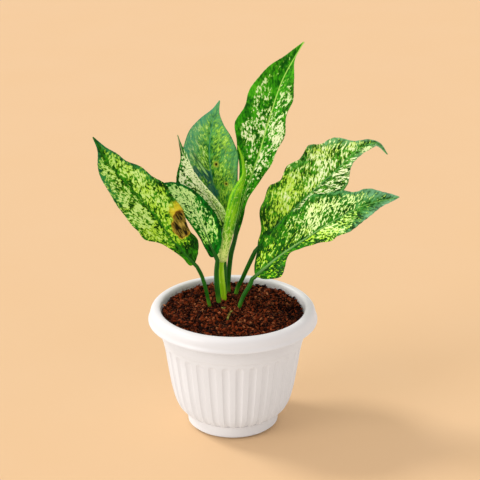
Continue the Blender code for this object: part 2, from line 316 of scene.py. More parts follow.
# %% Curves and grids
def smooth_between(values, places):
    """Values at places from 0 to 1 on a Catmull-Rom curve through evenly spaced values."""
    values = np.asarray(values, float)
    places = np.asarray(places, float)
    last = len(values) - 1
    start = np.clip((places * last).astype(int), 0, last - 1)
    step = places * last - start
    if values.ndim > 1:
        step = step[:, None]
    ends = [2 * values[:1] - values[1:2], values, 2 * values[-1:] - values[-2:-1]]
    padded = np.concatenate(ends)
    before, here, there, after = (padded[start + offset] for offset in range(4))
    return 0.5 * (2 * here + (there - before) * step
                  + (2 * before - 5 * here + 4 * there - after) * step ** 2
                  + (3 * here - 3 * there + after - before) * step ** 3)


def smooth_line(values, steps):
    """A number of even steps along the curve through the values."""
    return smooth_between(values, np.linspace(0, 1, steps))


def soft_step(values, low, high):
    """0 below low, 1 above high and smooth between."""
    share = np.clip((np.asarray(values, float) - low) / (high - low), 0, 1)
    return share * share * (3 - 2 * share)


def unit(vectors):
    return vectors / np.linalg.norm(vectors, axis=-1, keepdims=True)


def grid_faces(rows, columns, closed=False):
    """Quads between neighbours in a grid that is listed row by row. A closed one wraps round."""
    faces = []
    for row in range(rows - 1):
        for column in range(columns if closed else columns - 1):
            following = (column + 1) % columns
            faces.append((row * columns + column, row * columns + following,
                          (row + 1) * columns + following, (row + 1) * columns + column))
    return faces


print("a curve through 0, 1, 0 passes", smooth_between([0, 1, 0], [0.25])[0], "a quarter of the way")


# %% Maps and pieces
def add_map(mesh, name, values):
    """A UV map from one pair of numbers for each vertex."""
    layer = mesh.uv_layers.new(name=name)
    corners = np.empty(len(mesh.loops), int)
    mesh.loops.foreach_get("vertex_index", corners)
    layer.uv.foreach_set("vector", np.asarray(values, np.float32)[corners].ravel())


def add_piece(name, points, faces, finishes, stands_for=()):
    """A mesh from points and faces that rides with the pot and stands for CAD nodes."""
    mesh = bpy.data.meshes.new(name)
    mesh.from_pydata(np.asarray(points).tolist(), [], faces)
    mesh.shade_smooth()
    for finish in finishes:
        mesh.materials.append(finish)
    piece = add_object(name, mesh)
    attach(piece, "root")
    if stands_for:
        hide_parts(*stands_for)
    return piece


def apply_modifiers(piece):
    """Bakes a piece's modifiers into its mesh."""
    evaluated = piece.evaluated_get(bpy.context.evaluated_depsgraph_get())
    mesh = bpy.data.meshes.new_from_object(evaluated)
    piece.modifiers.clear()
    piece.data = mesh


def thicken(piece, thickness, **settings):
    """Gives a sheet its thickness in mm, half of it on either side."""
    solidify = piece.modifiers.new("thickness", "SOLIDIFY")
    solidify.thickness = thickness * MM
    solidify.offset = 0
    for setting, value in settings.items():
        setattr(solidify, setting, value)
    apply_modifiers(piece)


def tell(piece):
    print(piece.name, sum(len(face.vertices) - 2 for face in piece.data.polygons), "triangles")


print("every piece will ride on root")

# %% [markdown]
# ## The pot
#
# A moulded pot has no sharp edges: its flutes are grooves with soft shoulders and round tops,
# and its rim is one rolled lip. Booleans would leave hard edges, so the whole pot is one turned
# grid. Each ring of the grid has columns set close together at a groove's two sides, and the
# points of the wall move in by the groove's depth there.

# %% Pot profile
# Sizes are in mm, and each profile is a list of radii and heights.
POT_WALL = 1.8
POT_FLOOR = 2.6
FOOT = [(30.6, 0), (30.8, 0.3), (31.0, 0.9), (32.4, 1.0), (32.9, 1.2), (33.1, 1.8), (33.3, 3.2), (33.5, 3.6),
        (34.0, 9.4), (34.3, 10.3), (35.2, 11.0), (36.4, 11.35)]
BOWL = [(36.8, 11.7), (40.3, 14.6), (43.1, 18.5), (45.3, 24), (47.1, 31), (48.7, 39), (50.1, 48),
        (51.4, 56.5), (52.4, 63.5), (53.6, 69.3), (54.1, 72.2)]
STEP_AND_BAND = [(54.15, 72.5), (54.3, 72.8), (54.6, 73.0), (54.75, 73.3), (54.9, 78), (55.05, 82),
                 (55.2, 86)]
RIM = [(55.1, 94.0), (55.4, 96.2), (56.3, 97.7), (58.4, 98.2), (60.8, 97.5), (62.7, 95.6), (63.6, 93.0),
       (64.0, 90.6), (64.9, 88.6)]
RIM_EDGE = [(65.0, 88.1), (65.0, 87.7), (64.8, 87.3), (64.4, 87.1), (63.7, 87.1), (63.2, 87.4)]
UNDER_RIM = [(62.8, 88.6), (62.4, 90.2), (61.8, 92.4), (60.6, 94.6), (58.8, 95.8), (57.3, 94.8), (56.4, 91.5),
             (55.6, 88.0)]
RIM_STEPS = 34
UNDER_RIM_STEPS = 16
CURVE_STEPS = 400       # points on a curve that others are read from
CENTRE_RADIUS = 2.0     # of the smallest ring, which a single face closes
FLUTES = 32
PITCH = math.tau / FLUTES
FLUTE_TOP = 70.2
FLUTE_HALF_ANGLE = math.radians(3.3)
FLUTE_DEPTH = 1.15
FLUTE_HOLLOW = 2.6      # 2 for a groove that is part of a circle, more for a flatter floor
RIDGE_HALF_ANGLE = math.radians(1.0)   # the last column stands so far from the ridge's middle
DRAIN_HOLES = 5
DRAIN_RADIUS = 4.0
DRAIN_CIRCLE = 20.0
DRAIN_SIDES = 40
SHARP_ANGLE = math.radians(40)

# heights of the rings up the bowl: close together where a groove ends
bowl_heights = np.concatenate([np.arange(11.7, 16, 0.6), np.arange(16, 63, 2.0), np.arange(63, 72, 0.45)])
bowl_curve = smooth_line(BOWL, CURVE_STEPS)
bowl_radii = np.interp(bowl_heights, bowl_curve[:, 1], bowl_curve[:, 0])
bowl = list(zip(bowl_radii.tolist(), bowl_heights.tolist()))
outer_wall = FOOT + bowl + STEP_AND_BAND


def shrunk(profile, distance):
    """A profile moved inwards, each point along the normal between its neighbours."""
    line = np.asarray(profile, float)
    along = unit(np.gradient(line, axis=0))
    return line + np.column_stack([-along[:, 1], along[:, 0]]) * distance


inner_wall = shrunk(BOWL + [(54.9, 78), (55.2, 86)], POT_WALL)
corner = inner_wall[0, 0]
inner_floor = np.array([(CENTRE_RADIUS, POT_FLOOR), (corner - 2, POT_FLOOR), (corner - 0.6, POT_FLOOR + 0.5)])
over_rim = np.concatenate([smooth_line(RIM, RIM_STEPS), RIM_EDGE])
under_rim = smooth_line(UNDER_RIM, UNDER_RIM_STEPS)
pot_profile = np.concatenate([inner_floor, inner_wall, over_rim, under_rim, outer_wall[::-1],
                              [(16.0, 0.0), (CENTRE_RADIUS, 0.0)]])
print(len(pot_profile), "rings from the pot's floor over its rim to its underside")


# %% Pot mesh
def flute_columns():
    """Angles round the pot, with most of them where the grooves turn."""
    in_groove = np.array([0, 0.25, 0.48, 0.68, 0.84, 0.94, 1.0, 1.07]) * FLUTE_HALF_ANGLE
    half = np.append(in_groove, PITCH / 2 - RIDGE_HALF_ANGLE)
    one = np.concatenate([-half[:0:-1], half])
    return np.concatenate([(flute + 0.5) * PITCH + one for flute in range(FLUTES)])


def groove(angle, radius, height):
    """How deep the nearest groove is at a point of the wall, in mm."""
    off_middle = np.abs((angle % PITCH) - PITCH / 2)
    half_width = FLUTE_HALF_ANGLE * radius
    above = np.maximum(height - (FLUTE_TOP - half_width), 0)
    share = np.hypot(off_middle * radius, above) / half_width
    return FLUTE_DEPTH * np.maximum(1 - share ** FLUTE_HOLLOW, 0)


columns = flute_columns()
radius, angle = np.meshgrid(pot_profile[:, 0], columns, indexing="ij")
height, _ = np.meshgrid(pot_profile[:, 1], columns, indexing="ij")
first_outer = len(inner_floor) + len(inner_wall) + len(over_rim) + len(under_rim)
on_bowl = (np.arange(len(pot_profile)) >= first_outer) & (pot_profile[:, 1] >= BOWL[0][1] - 0.01)
radius = radius - groove(angle, radius, height) * on_bowl[:, None]
pot_points = np.stack([radius * np.cos(angle), radius * np.sin(angle), height], axis=-1).reshape(-1, 3)
rings = len(pot_profile)
pot_faces = grid_faces(rings, len(columns), closed=True)
pot_faces.append(tuple(range(len(columns)))[::-1])
pot_faces.append(tuple(range((rings - 1) * len(columns), rings * len(columns))))
print("pot grid", rings, "x", len(columns))

# %% [markdown]
# ### White plastic
#
# The pot is glossy injection-moulded plastic, a hair warmer than pure white. Up close it is
# never quite even: a faint cloudiness in its gloss, a fine pebbling from the mould, and soil dust
# on the inside above the soil. Dust sits only on the inner face, so its mask uses the distance
# from the axis as well as the height.


# %% Pot finish
def pot_finish():
    recipe = Recipe("white moulded plastic", IOR=1.46)
    place = recipe.place()
    x, y, z = recipe.parts(place)
    cloud = recipe.noise(place, 28.0, detail=3.0)
    pebble = recipe.noise(place, 900.0, detail=2.0)
    white = recipe.mix(cloud, colour("efeeee"), colour("e9e7e7"))
    from_axis = (x * x + y * y) ** 0.5
    inside = recipe.rise(from_axis, 56.2 * MM, 54.6 * MM) * recipe.rise(z, 85 * MM, 88 * MM)
    near_soil = recipe.rise(z + (cloud - 0.5) * (6 * MM), 96.6 * MM, 92.5 * MM)
    specks = recipe.rise(recipe.noise(place, 420.0, detail=3.0), 0.52, 0.66)
    dust = inside * near_soil * (specks * 0.55 + 0.12)
    recipe.dress(Base_Color=recipe.mix(dust, white, colour("7a5238")),
                 Roughness=0.26 + cloud * 0.16 + dust * 0.3,
                 Normal=recipe.bump(pebble, 0.00003, 0.35))
    return recipe.material


pot = add_piece("pot_body", pot_points * MM, pot_faces, [pot_finish()], ["pot"])
tell(pot)


# %% [markdown]
# The drain holes are the one place for a Boolean: five plain drills through a flat floor.

# %% Drain holes
def drill_drains(target):
    shape = bmesh.new()
    for hole in range(DRAIN_HOLES):
        turn = math.tau * hole / DRAIN_HOLES
        centre = Vector((DRAIN_CIRCLE * math.cos(turn), DRAIN_CIRCLE * math.sin(turn), POT_FLOOR / 2)) * MM
        bmesh.ops.create_cone(shape, cap_ends=True, segments=DRAIN_SIDES, radius1=DRAIN_RADIUS * MM,
                              radius2=DRAIN_RADIUS * MM, depth=4 * POT_FLOOR * MM,
                              matrix=Matrix.Translation(centre))
    drills = add_object("drills", mesh_from("drills", shape))
    cut = target.modifiers.new("drains", "BOOLEAN")
    cut.object = drills
    cut.operation = "DIFFERENCE"
    apply_modifiers(target)
    bpy.data.objects.remove(drills)
    target.data.set_sharp_from_angle(angle=SHARP_ANGLE)


drill_drains(pot)
tell(pot)

# %% [markdown]
# ## The soil
#
# Coir soil is a loose heap of crumbs with fibres between them, not a smooth mound. Three layers
# build it: a closed mound with a rough top, thousands of small crumbs lying on it, and a few
# hundred bent fibres. Particles would be simpler, but they are lost when the model is saved for
# other programs, so every crumb is real mesh.

# %% Soil mound
SOIL_TOP = [(0, 97.5), (12, 97.3), (28, 96.2), (42, 94.6), (52, 93.0)]  # radius and height
SOIL_RADIUS = 53.6
SOIL_GRID = 150
HOLLOW = (43.5, 0.0)       # a dip beside the wall
HOLLOW_RADIUS = 9.0
HOLLOW_DEPTH = 4.2
HOLLOW_SQUEEZE = 0.8       # below 1 for a dip that is longer along the wall than across it
LUMP = 7.0                 # the size of a lump, in mm
LUMP_HEIGHT = 1.6
GRAIN = 2.2
GRAIN_HEIGHT = 0.75
SOIL_SHOULDER = (53.5, 91.0)    # radius and height where the mound's side starts
SOIL_CLEARANCE = 0.3            # between the mound and the pot
SOIL_BOTTOM = 3.0               # the height of its underside


def in_hollow(x, y):
    """1 in the middle of the dip, and 0 away from it."""
    from_middle = math.hypot(x - HOLLOW[0], (y - HOLLOW[1]) * HOLLOW_SQUEEZE)
    return math.exp(-(from_middle / HOLLOW_RADIUS) ** 2)


def soil_height(x, y):
    """The height of the soil's top at a point, in mm. Noise adds lumps and finer grains."""
    height = float(np.interp(math.hypot(x, y), *zip(*SOIL_TOP)))
    height -= HOLLOW_DEPTH * in_hollow(x, y)
    height += LUMP_HEIGHT * noise.noise(Vector((x / LUMP, y / LUMP, 3.1)))
    height += GRAIN_HEIGHT * noise.noise(Vector((x / GRAIN, y / GRAIN, 8.7)))
    return height


def disc_points(steps):
    """A square grid pressed into a disc, so that its cells stay nearly even."""
    side = np.linspace(-1, 1, steps)
    x, y = np.meshgrid(side, side, indexing="ij")
    wide = np.abs(x) > np.abs(y)
    longer = np.where(wide, x, y)
    shorter = np.where(wide, y, x)
    turn = math.pi / 4 * shorter / np.where(longer == 0, 1, longer)
    disc_x = longer * np.where(wide, np.cos(turn), np.sin(turn))
    disc_y = longer * np.where(wide, np.sin(turn), np.cos(turn))
    return np.stack([disc_x, disc_y], axis=-1).reshape(-1, 2)


flat_points = disc_points(SOIL_GRID) * SOIL_RADIUS
soil_points = [(x, y, soil_height(x, y)) for x, y in flat_points.tolist()]
soil_faces = [(face[0], *face[:0:-1]) for face in grid_faces(SOIL_GRID, SOIL_GRID)]   # they look up
print("soil top rises to", round(max(point[2] for point in soil_points), 1), "mm")

# %% [markdown]
# ### Coir
#
# Coir is dark red-brown, and each crumb has its own tone: the freshly broken ones are rusty, the
# wet ones nearly black. A crumb's tone is stored in a UV map, one value for the whole crumb, and
# fine noise breaks it up.


# %% Coir finish
def coir_finish(name, dark, middle, light):
    recipe = Recipe(name, IOR=1.4, Specular_IOR_Level=0.15)
    tone = recipe.parts(recipe.uv("tone"))[0]
    place = recipe.place()
    fine = recipe.noise(place, 1500.0, detail=3.0)
    patches = recipe.noise(place, 70.0, detail=1.0)
    level = tone * 0.62 + fine * 0.5 + (patches - 0.5) * 0.35
    shade = recipe.lay(colour(dark), middle, level, 0.3, 0.62)
    shade = recipe.lay(shade, light, level, 0.74, 1.05)
    return recipe.finished(shade, fine, (0.82, 0.15), (0.0002, 0.6))


coir = coir_finish("coir", "180400", "7a3212", "cc8858")
print(coir.name, "has", len(coir.node_tree.nodes), "nodes")


# %% Soil body
# the mound's own dark coir, kept darker than the crumbs as painted shade in the gaps between them
MOUND_TONE = 0.1       # the mound that shows between the crumbs is dark
TONE_SPREAD = 0.3
TONE_SIZE = 2.5        # mm


def grid_margin(steps):
    """The points on the four sides of a square grid, in their order round it."""
    index = np.arange(steps * steps).reshape(steps, steps)
    return np.concatenate([index[0, :-1], index[:-1, -1], index[-1, :0:-1], index[:0:-1, 0]])


def closed_below(points, faces, tones):
    """The mound with sides that run down the inside of the pot, and with a flat underside."""
    below = [(row[0] - SOIL_CLEARANCE, row[1]) for row in inner_wall[::-1] if row[1] < SOIL_SHOULDER[1] - 1]
    ring = grid_margin(SOIL_GRID)
    outward = unit(points[ring, :2])
    margin_tones = tones[ring]
    for radius, height in [SOIL_SHOULDER] + below + [(corner - 2.5, SOIL_BOTTOM)]:
        lower = np.arange(len(points), len(points) + len(ring))
        points = np.concatenate([points, np.column_stack([outward * radius, np.full(len(ring), height)])])
        tones = np.concatenate([tones, margin_tones])
        faces = faces + np.stack([lower, ring, np.roll(ring, -1), np.roll(lower, -1)], axis=-1).tolist()
        ring = lower
    return points, faces + [ring.tolist()], tones


spots = flat_points / TONE_SIZE
top_tones = [MOUND_TONE + TONE_SPREAD * noise.noise(Vector((x, y, 5))) for x, y in spots.tolist()]
points, faces, tones = closed_below(np.array(soil_points), soil_faces, np.array(top_tones))
soil = add_piece("soil_mound", points * MM, faces, [coir], ["soil"])
add_map(soil.data, "tone", np.column_stack([tones, np.zeros(len(tones))]))
tell(soil)

# %% Crumbs
CRUMBS = 8200
CRUMB_REACH = 53.4          # mm from the axis
CRUMB_RADII = (0.35, 1.8)   # mm
CRUMB_LUMPS = (0.6, 1.3)    # the distance of a crumb's corners from its centre, over its radius
CRUMB_LIFT = 1.1            # how high a crumb's centre may lie on the mound, over its radius
CRUMB_SEED = 11


def random_spot(rng, reach):
    """A point of the soil's disc, evenly spread, in mm."""
    from_axis = reach * math.sqrt(rng.random())
    turn = rng.uniform(0, math.tau)
    return from_axis * math.cos(turn), from_axis * math.sin(turn)


def crumb_shape():
    """The points and faces of a 20-sided ball, which each crumb then distorts."""
    shape = bmesh.new()
    bmesh.ops.create_icosphere(shape, subdivisions=1, radius=1)
    points = np.array([vert.co for vert in shape.verts])
    faces = np.array([[vert.index for vert in face.verts] for face in shape.faces])
    shape.free()
    return points, faces


def turning(rng):
    """A random rotation, as a numpy matrix."""
    euler = [rng.uniform(0, math.tau) for _ in range(3)]
    return np.array(Matrix.Rotation(euler[0], 3, "Z") @ Matrix.Rotation(euler[1], 3, "X")
                    @ Matrix.Rotation(euler[2], 3, "Z"))


def scatter_crumbs():
    """Flattened lumps. Most are small and dark, and those in the dip are painted darker, as painted shade."""
    rng = random.Random(CRUMB_SEED)
    ball, ball_faces = crumb_shape()
    smallest, largest = CRUMB_RADII
    points, faces, tones = [], [], []
    for index in range(CRUMBS):
        x, y = random_spot(rng, CRUMB_REACH)
        size = smallest + (largest - smallest) * rng.random() ** 3
        lumpy = ball * np.array([[rng.uniform(*CRUMB_LUMPS)] for _ in range(len(ball))])
        flattened = lumpy * [1.15, rng.uniform(0.4, 0.85), rng.uniform(0.35, 0.75)]
        centre = (x, y, soil_height(x, y) + size * rng.uniform(0, CRUMB_LIFT))
        points.append(flattened @ turning(rng).T * size + centre)
        faces.append(ball_faces + index * len(ball))
        # painted shade: crumbs in the dip get a darker tone
        tones += [(rng.random() ** 1.7 - 0.45 * in_hollow(x, y), 0)] * len(ball)
    return np.concatenate(points), np.concatenate(faces).tolist(), tones


crumb_points, crumb_faces, crumb_tones = scatter_crumbs()
crumbs = add_piece("soil_crumbs", crumb_points * MM, crumb_faces, [coir])
crumbs.data.shade_flat()
add_map(crumbs.data, "tone", crumb_tones)
tell(crumbs)


# %% [markdown]
# A tube is a grid too: rings of points round a line. Each ring stands square to the line, and is
# turned as little as possible from the ring before it, so that the tube doesn't twist. The same
# helper makes the fibres, the stalks and the small shoot.

# %% Tubes
def ring_frames(line):
    """Two directions square to the line at each of its points, without twist."""
    along = unit(np.gradient(line, axis=0))
    side = np.cross(along[0], (0.0, 1.0, 0.0) if abs(along[0][1]) < 0.9 else (1.0, 0.0, 0.0))
    sides = []
    for direction in along:
        side = side - direction * side.dot(direction)
        side = side / np.linalg.norm(side)
        sides.append(side)
    sides = np.array(sides)
    return sides, np.cross(along, sides)


def tube_grid(line, radii, count, bulge=None):
    """Rings round a line. bulge gives a factor on the radius for each ring and angle."""
    line = np.asarray(line, float)
    sides, others = ring_frames(line)
    turn = np.linspace(0, math.tau, count, endpoint=False)
    reach = np.repeat(np.asarray(radii, float)[:, None], count, axis=1)
    if bulge is not None:
        reach = reach * bulge(np.linspace(0, 1, len(line))[:, None], turn[None, :])
    spokes = sides[:, None] * np.cos(turn)[None, :, None] + others[:, None] * np.sin(turn)[None, :, None]
    points = (line[:, None] + spokes * reach[..., None]).reshape(-1, 3)
    faces = grid_faces(len(line), count, closed=True)
    faces.append(tuple(range(count))[::-1])
    faces.append(tuple(range((len(line) - 1) * count, len(line) * count)))
    return points, faces


def joined(grids):
    """Several (points, faces) pairs as one."""
    points, faces, start = [], [], 0
    for grid_points, grid in grids:
        points.append(grid_points)
        faces += [tuple(index + start for index in face) for face in grid]
        start += len(grid_points)
    return np.concatenate(points), faces


print("tube helper is ready")

# %% Fibres
FIBRES = 620
FIBRE_SEED = 5
FIBRE_POINTS = 6
FIBRE_SIDES = 4
FIBRE_REACH = 50.5          # mm from the axis, for a fibre's first point
FIBRE_LIMIT = 52            # and for its last
FIBRE_LIFT = 0.55           # above the mound
FIBRE_CLIMB = 0.22          # the most that a fibre climbs from one point to the next
FIBRE_LENGTHS = (3.0, 11.0)
FIBRE_RADII = (0.06, 0.14)
FIBRE_BEND = 0.5            # the most that it turns from one point to the next, in radians


def scatter_fibres():
    """Thin bent hairs that lie on the crumbs, some with an end in the air."""
    rng = random.Random(FIBRE_SEED)
    grids, tones = [], []
    for _ in range(FIBRES):
        x, y = random_spot(rng, FIBRE_REACH)
        heading = rng.uniform(0, math.tau)
        bend = rng.uniform(-FIBRE_BEND, FIBRE_BEND)
        step = rng.uniform(*FIBRE_LENGTHS) / FIBRE_POINTS
        climb = rng.uniform(0, FIBRE_CLIMB)
        line = []
        for index in range(FIBRE_POINTS):
            if math.hypot(x, y) > FIBRE_LIMIT:
                break
            line.append((x, y, soil_height(x, y) + FIBRE_LIFT + climb * index))
            heading += bend
            x += step * math.cos(heading)
            y += step * math.sin(heading)
        if len(line) > 2:
            radius = rng.uniform(*FIBRE_RADII)
            grids.append(tube_grid(line, [radius] * len(line), FIBRE_SIDES))
            tones += [(rng.random(), 0)] * (FIBRE_SIDES * len(line))
    return *joined(grids), tones


fibre_points, fibre_faces, fibre_tones = scatter_fibres()
fibre_finish = coir_finish("coir fibre", "4a2212", "94552f", "c99a66")
fibres = add_piece("soil_fibres", fibre_points * MM, fibre_faces, [fibre_finish])
add_map(fibres.data, "tone", fibre_tones)
tell(fibres)

# %% [markdown]
# ## The crown
#
# The buried stem that the stalks grow from keeps its CAD shape. It only needs the look of an old
# stem: tan bark with rings where earlier leaves fell off.


# %% Crown finish
def crown_finish():
    recipe = Recipe("old stem", IOR=1.4)
    place = recipe.place()
    rough = recipe.noise(recipe.stretched(place, (1, 1, 5)), 160.0, detail=3.0)
    bark = recipe.lay(colour("6d5233"), "a58a5c", rough, 0.35, 0.65)
    return recipe.finished(bark, rough, (0.75, 0.2), (0.0006, 0.7))


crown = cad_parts["crown"]
crown.data.materials.clear()
crown.data.materials.append(crown_finish())
print("crown keeps its CAD shape")

# %% [markdown]
# ## The leaves
#
# Seven leaves are open. Each blade is one thin sheet bent from a grid: a few points give the line
# of its midrib, and a few half widths on either side give its outline. The sheet folds a little at
# the midrib and waves towards its margins, as a soft leaf does. A flat card with a picture of a
# leaf would look dead from the side, so the waves, the sunken midrib and the swelling between the
# side veins are all real shape. Where a margin waves up and down it also swings a little in and
# out, which gives the outline shallow scallops.

# %% Leaf lines and widths
# In mm and degrees. rib runs from the blade's base to its tip, and left and right are half widths
# at even steps along it. face is where the upper side looks, at the base and at the tip. fold lifts
# both halves from the rib, and curl bends them on. wave is how far the left and right margins sway,
# how many times they do so, and where the sway starts. A side vein runs slant mm along the leaf for
# each mm out from the rib. stalk is the line of the stalk, and radii are its radii at its foot and
# at the blade.
LEAVES = {
    "left": dict(
        rib=[(-29, -4, 134), (-45, -4, 153), (-59, -4, 174), (-75, -1, 193), (-92, 4, 211), (-104, 7, 232)],
        left=[4.5, 3.7, 5.6, 10.3, 18, 20.6, 18.3, 19.2, 15.6, 14, 7.8, 2.2, 0.4],
        right=[2.5, 14.5, 14.6, 17.8, 19.9, 20.8, 20.8, 18.8, 16.4, 12.4, 9.2, 4.4, 0.4],
        face=[(0.25, -0.8, 0.55), (0.25, -0.8, 0.55)], fold=14, curl=-8,
        wave=(1.1, 0.8, 3.6, 0.1), slant=2.6, radii=(1.3, 1.6),
        stalk=[(-14, 6, 77), (-18, 2, 97), (-20.5, 0, 111), (-23.5, -2, 123)]),
    "front": dict(
        rib=[(-13, 8, 135), (-19, 11, 149), (-26, 15, 164), (-35, 19, 176), (-46, 22.5, 184),
             (-59, 25.5, 187)],
        left=[4, 5, 6, 7.5, 9, 10.5, 11, 7.5, 0.4],
        right=[1.5, 9, 13, 13, 12, 9.5, 8, 4.5, 0.4],
        face=[(-0.2, -0.85, 0.45), (0, -0.8, 0.55)], fold=14, curl=-8,
        wave=(0.7, 0.8, 2.4, 0.4), slant=2.4, radii=(1.8, 1.9),
        stalk=[(-9, 8, 77), (-10.7, 7, 97), (-12.4, 7.2, 112), (-12.7, 7.6, 122)]),
    "centre": dict(
        rib=[(-8, 34, 145), (-11, 38, 166), (-16, 41, 186), (-18, 44, 207), (-16, 47, 227), (-10, 49, 247)],
        left=[1.5, 8, 12.5, 16, 18, 20, 21.7, 21.6, 20, 17, 10.4, 3.9, 0.4],
        right=[1.5, 7, 11.5, 15.5, 18.7, 20.8, 21.8, 22, 20.5, 16.6, 9.3, 2.8, 0.4],
        face=[(0.1, -0.9, 0.4), (0, -0.85, 0.5)], fold=16, curl=-6,
        wave=(0.5, 0.5, 2.2, 0.0), slant=2.2, radii=(1.6, 1.9),
        stalk=[(-5, 20.5, 77), (-6, 21.5, 97), (-6.5, 25, 113), (-7, 30, 131)]),
    "narrow": dict(
        rib=[(-6, 24, 152), (-13, 26, 167), (-23, 28, 181), (-32, 31, 194), (-38, 33, 210),
             (-42, 35.5, 224)],
        left=[1.5, 8, 12.5, 14.5, 15.8, 15.8, 15.5, 13.2, 9, 3.8, 1.3, 0.7, 0.4],
        right=[1.5, 6.7, 9.1, 8.5, 7.6, 6.4, 5.5, 5.5, 5.3, 4.5, 2.8, 1.3, 0.4],
        face=[(-0.5, -0.8, 0.4), (-0.6, -0.8, 0.3)], fold=30, curl=-10,
        wave=(0.6, 0.4, 2.6, 0.3), slant=2.6, radii=(1.5, 1.7),
        stalk=[(-10, 16.5, 77), (-10.5, 18, 97), (-10, 20.5, 115), (-7.5, 22.5, 136)]),
    "tall": dict(
        rib=[(1.5, 31, 141), (8.5, 35, 173), (19, 40, 203), (28, 44, 234), (38, 51, 263), (54, 57, 291)],
        left=[1.8, 2.8, 4.2, 6.5, 11.2, 17.4, 23.5, 22.6, 21.2, 19.5, 12.8, 6.4, 0.4],
        right=[1.8, 3.3, 4, 5.6, 10, 13.5, 15.8, 16, 14, 14.2, 8, 0.8, 0.4],
        face=[(-0.35, -0.85, 0.3), (-0.3, -0.85, 0.3)], fold=18, curl=-8,
        wave=(0.9, 1.3, 4.2, 0.2), slant=3.0, radii=(1.8, 2.0),
        stalk=[(-2, 28, 77), (-3.8, 30, 97), (-3.8, 29.8, 107), (-1.8, 29.8, 127)]),
    "upper_right": dict(
        rib=[(19, 18, 138), (33, 22, 154), (48, 26.5, 168), (63, 30.5, 182), (79, 33.5, 196),
             (93, 35, 210), (108, 36, 217.5), (118, 35, 208.5)],
        left=[1.5, 8.3, 21.8, 27.2, 26.4, 29.5, 29.7, 27.1, 21.5, 8, 3, 1.8, 0.4],
        right=[1.5, 9, 14, 16, 17.5, 18.5, 19.5, 18.1, 8.1, 5.2, 4.8, 1.5, 0.4],
        face=[(-0.3, -0.55, 0.75), (-0.3, -0.6, 0.75)], fold=16, curl=-8,
        wave=(1.2, 1.0, 4.4, 0.1), slant=1.2, radii=(1.45, 1.85),
        stalk=[(2.5, 21, 77), (2.4, 25.5, 97), (7.8, 22.7, 112), (13.2, 19.8, 126)]),
    "lower_right": dict(
        rib=[(17, -4, 124), (36, -6, 142), (57, -8, 158), (77, -11, 173), (99, -17, 187), (123, -21, 195)],
        left=[3.5, 13.2, 21.6, 20.5, 22.9, 24.6, 25, 24.3, 20.4, 14, 11.2, 7, 0.4],
        right=[1.5, 13.3, 19.4, 4, 6.5, 10.8, 15, 18.9, 21, 18.1, 12.2, 5.8, 0.4],
        face=[(-0.2, -0.6, 0.8), (-0.15, -0.55, 0.82)], fold=20, curl=-8,
        wave=(1.2, 1.0, 3.8, 0.5), slant=1.3, radii=(1.3, 1.75),
        stalk=[(3, 6, 77), (4.7, -3.7, 97), (7.8, -3.8, 107), (12.6, -3.9, 116)]),
}
print(len(LEAVES), "open leaves")

# %% Along the midrib
NEARBY = 0.01    # how far along the rib its direction is taken, on either side


def rib_frame(leaf, place):
    """At places along the rib: its points, the direction across the blade and the way up."""
    rib = smooth_between(leaf["rib"], place)
    ahead = smooth_between(leaf["rib"], np.minimum(place + NEARBY, 1))
    behind = smooth_between(leaf["rib"], np.maximum(place - NEARBY, 0))
    along = unit(ahead - behind)
    first, last = (np.array(face, float) for face in leaf["face"])
    upper = first + (last - first) * place[:, None]
    upper = unit(upper - along * np.sum(upper * along, axis=1)[:, None])
    return rib, np.cross(along, upper), upper


def walked(line):
    """How far along a line each of its points lies."""
    return np.concatenate([[0], np.cumsum(np.linalg.norm(np.diff(line, axis=0), axis=1))])


for name, leaf in LEAVES.items():
    rib, _, _ = rib_frame(leaf, np.linspace(0, 1, CURVE_STEPS))
    print(name, "midrib", round(walked(rib)[-1]), "mm")

# %% Blade surface
BLADE_ROWS = 97
BLADE_COLUMNS = 41
FOLD_ROUNDING = 1.2         # mm, how softly the sheet turns at the rib
VEIN_SPACING = 7.5          # mm
VEIN_SWELL = 0.3            # mm, the swelling between two side veins
RIB_GROOVE = 0.4            # mm
RIB_GROOVE_WIDTH = 0.8      # mm
BASE_ROUNDING = 0.035       # the share of the length over which the base rounds off
NARROWEST = 0.3             # mm
SWAY_START = (0.04, 0.2)    # a wave grows over this share of the length
SWAY_END = (1, 0.85)        # and fades over this one
VEIN_START = (1, 5)         # mm from the rib, over which the swelling grows
DENT_START = (0, 6)         # mm from the rib, over which the dents grow
WAVE_LAG = 0.3              # how far the right margin's wave runs ahead of the rib, in turns
WAVE_RISE = 2.2             # the power of the way out to the margin that a wave grows with
SCALLOP = 0.045             # the margin's swing in and out, over the half width, for a wave of 1 mm
SCALLOPS_PER_WAVE = 1.6
DENT = (13, 17)             # mm across and along
DENT_DEPTH = 0.9            # mm


def unevenness(across, along, seed):
    """Slow, shallow dents all over a blade, in mm."""
    wide, long = DENT
    places = zip(across.ravel(), along.ravel())
    values = [noise.noise(Vector((x / wide, y / long, seed))) for x, y in places]
    return np.array(values).reshape(across.shape) * DENT_DEPTH


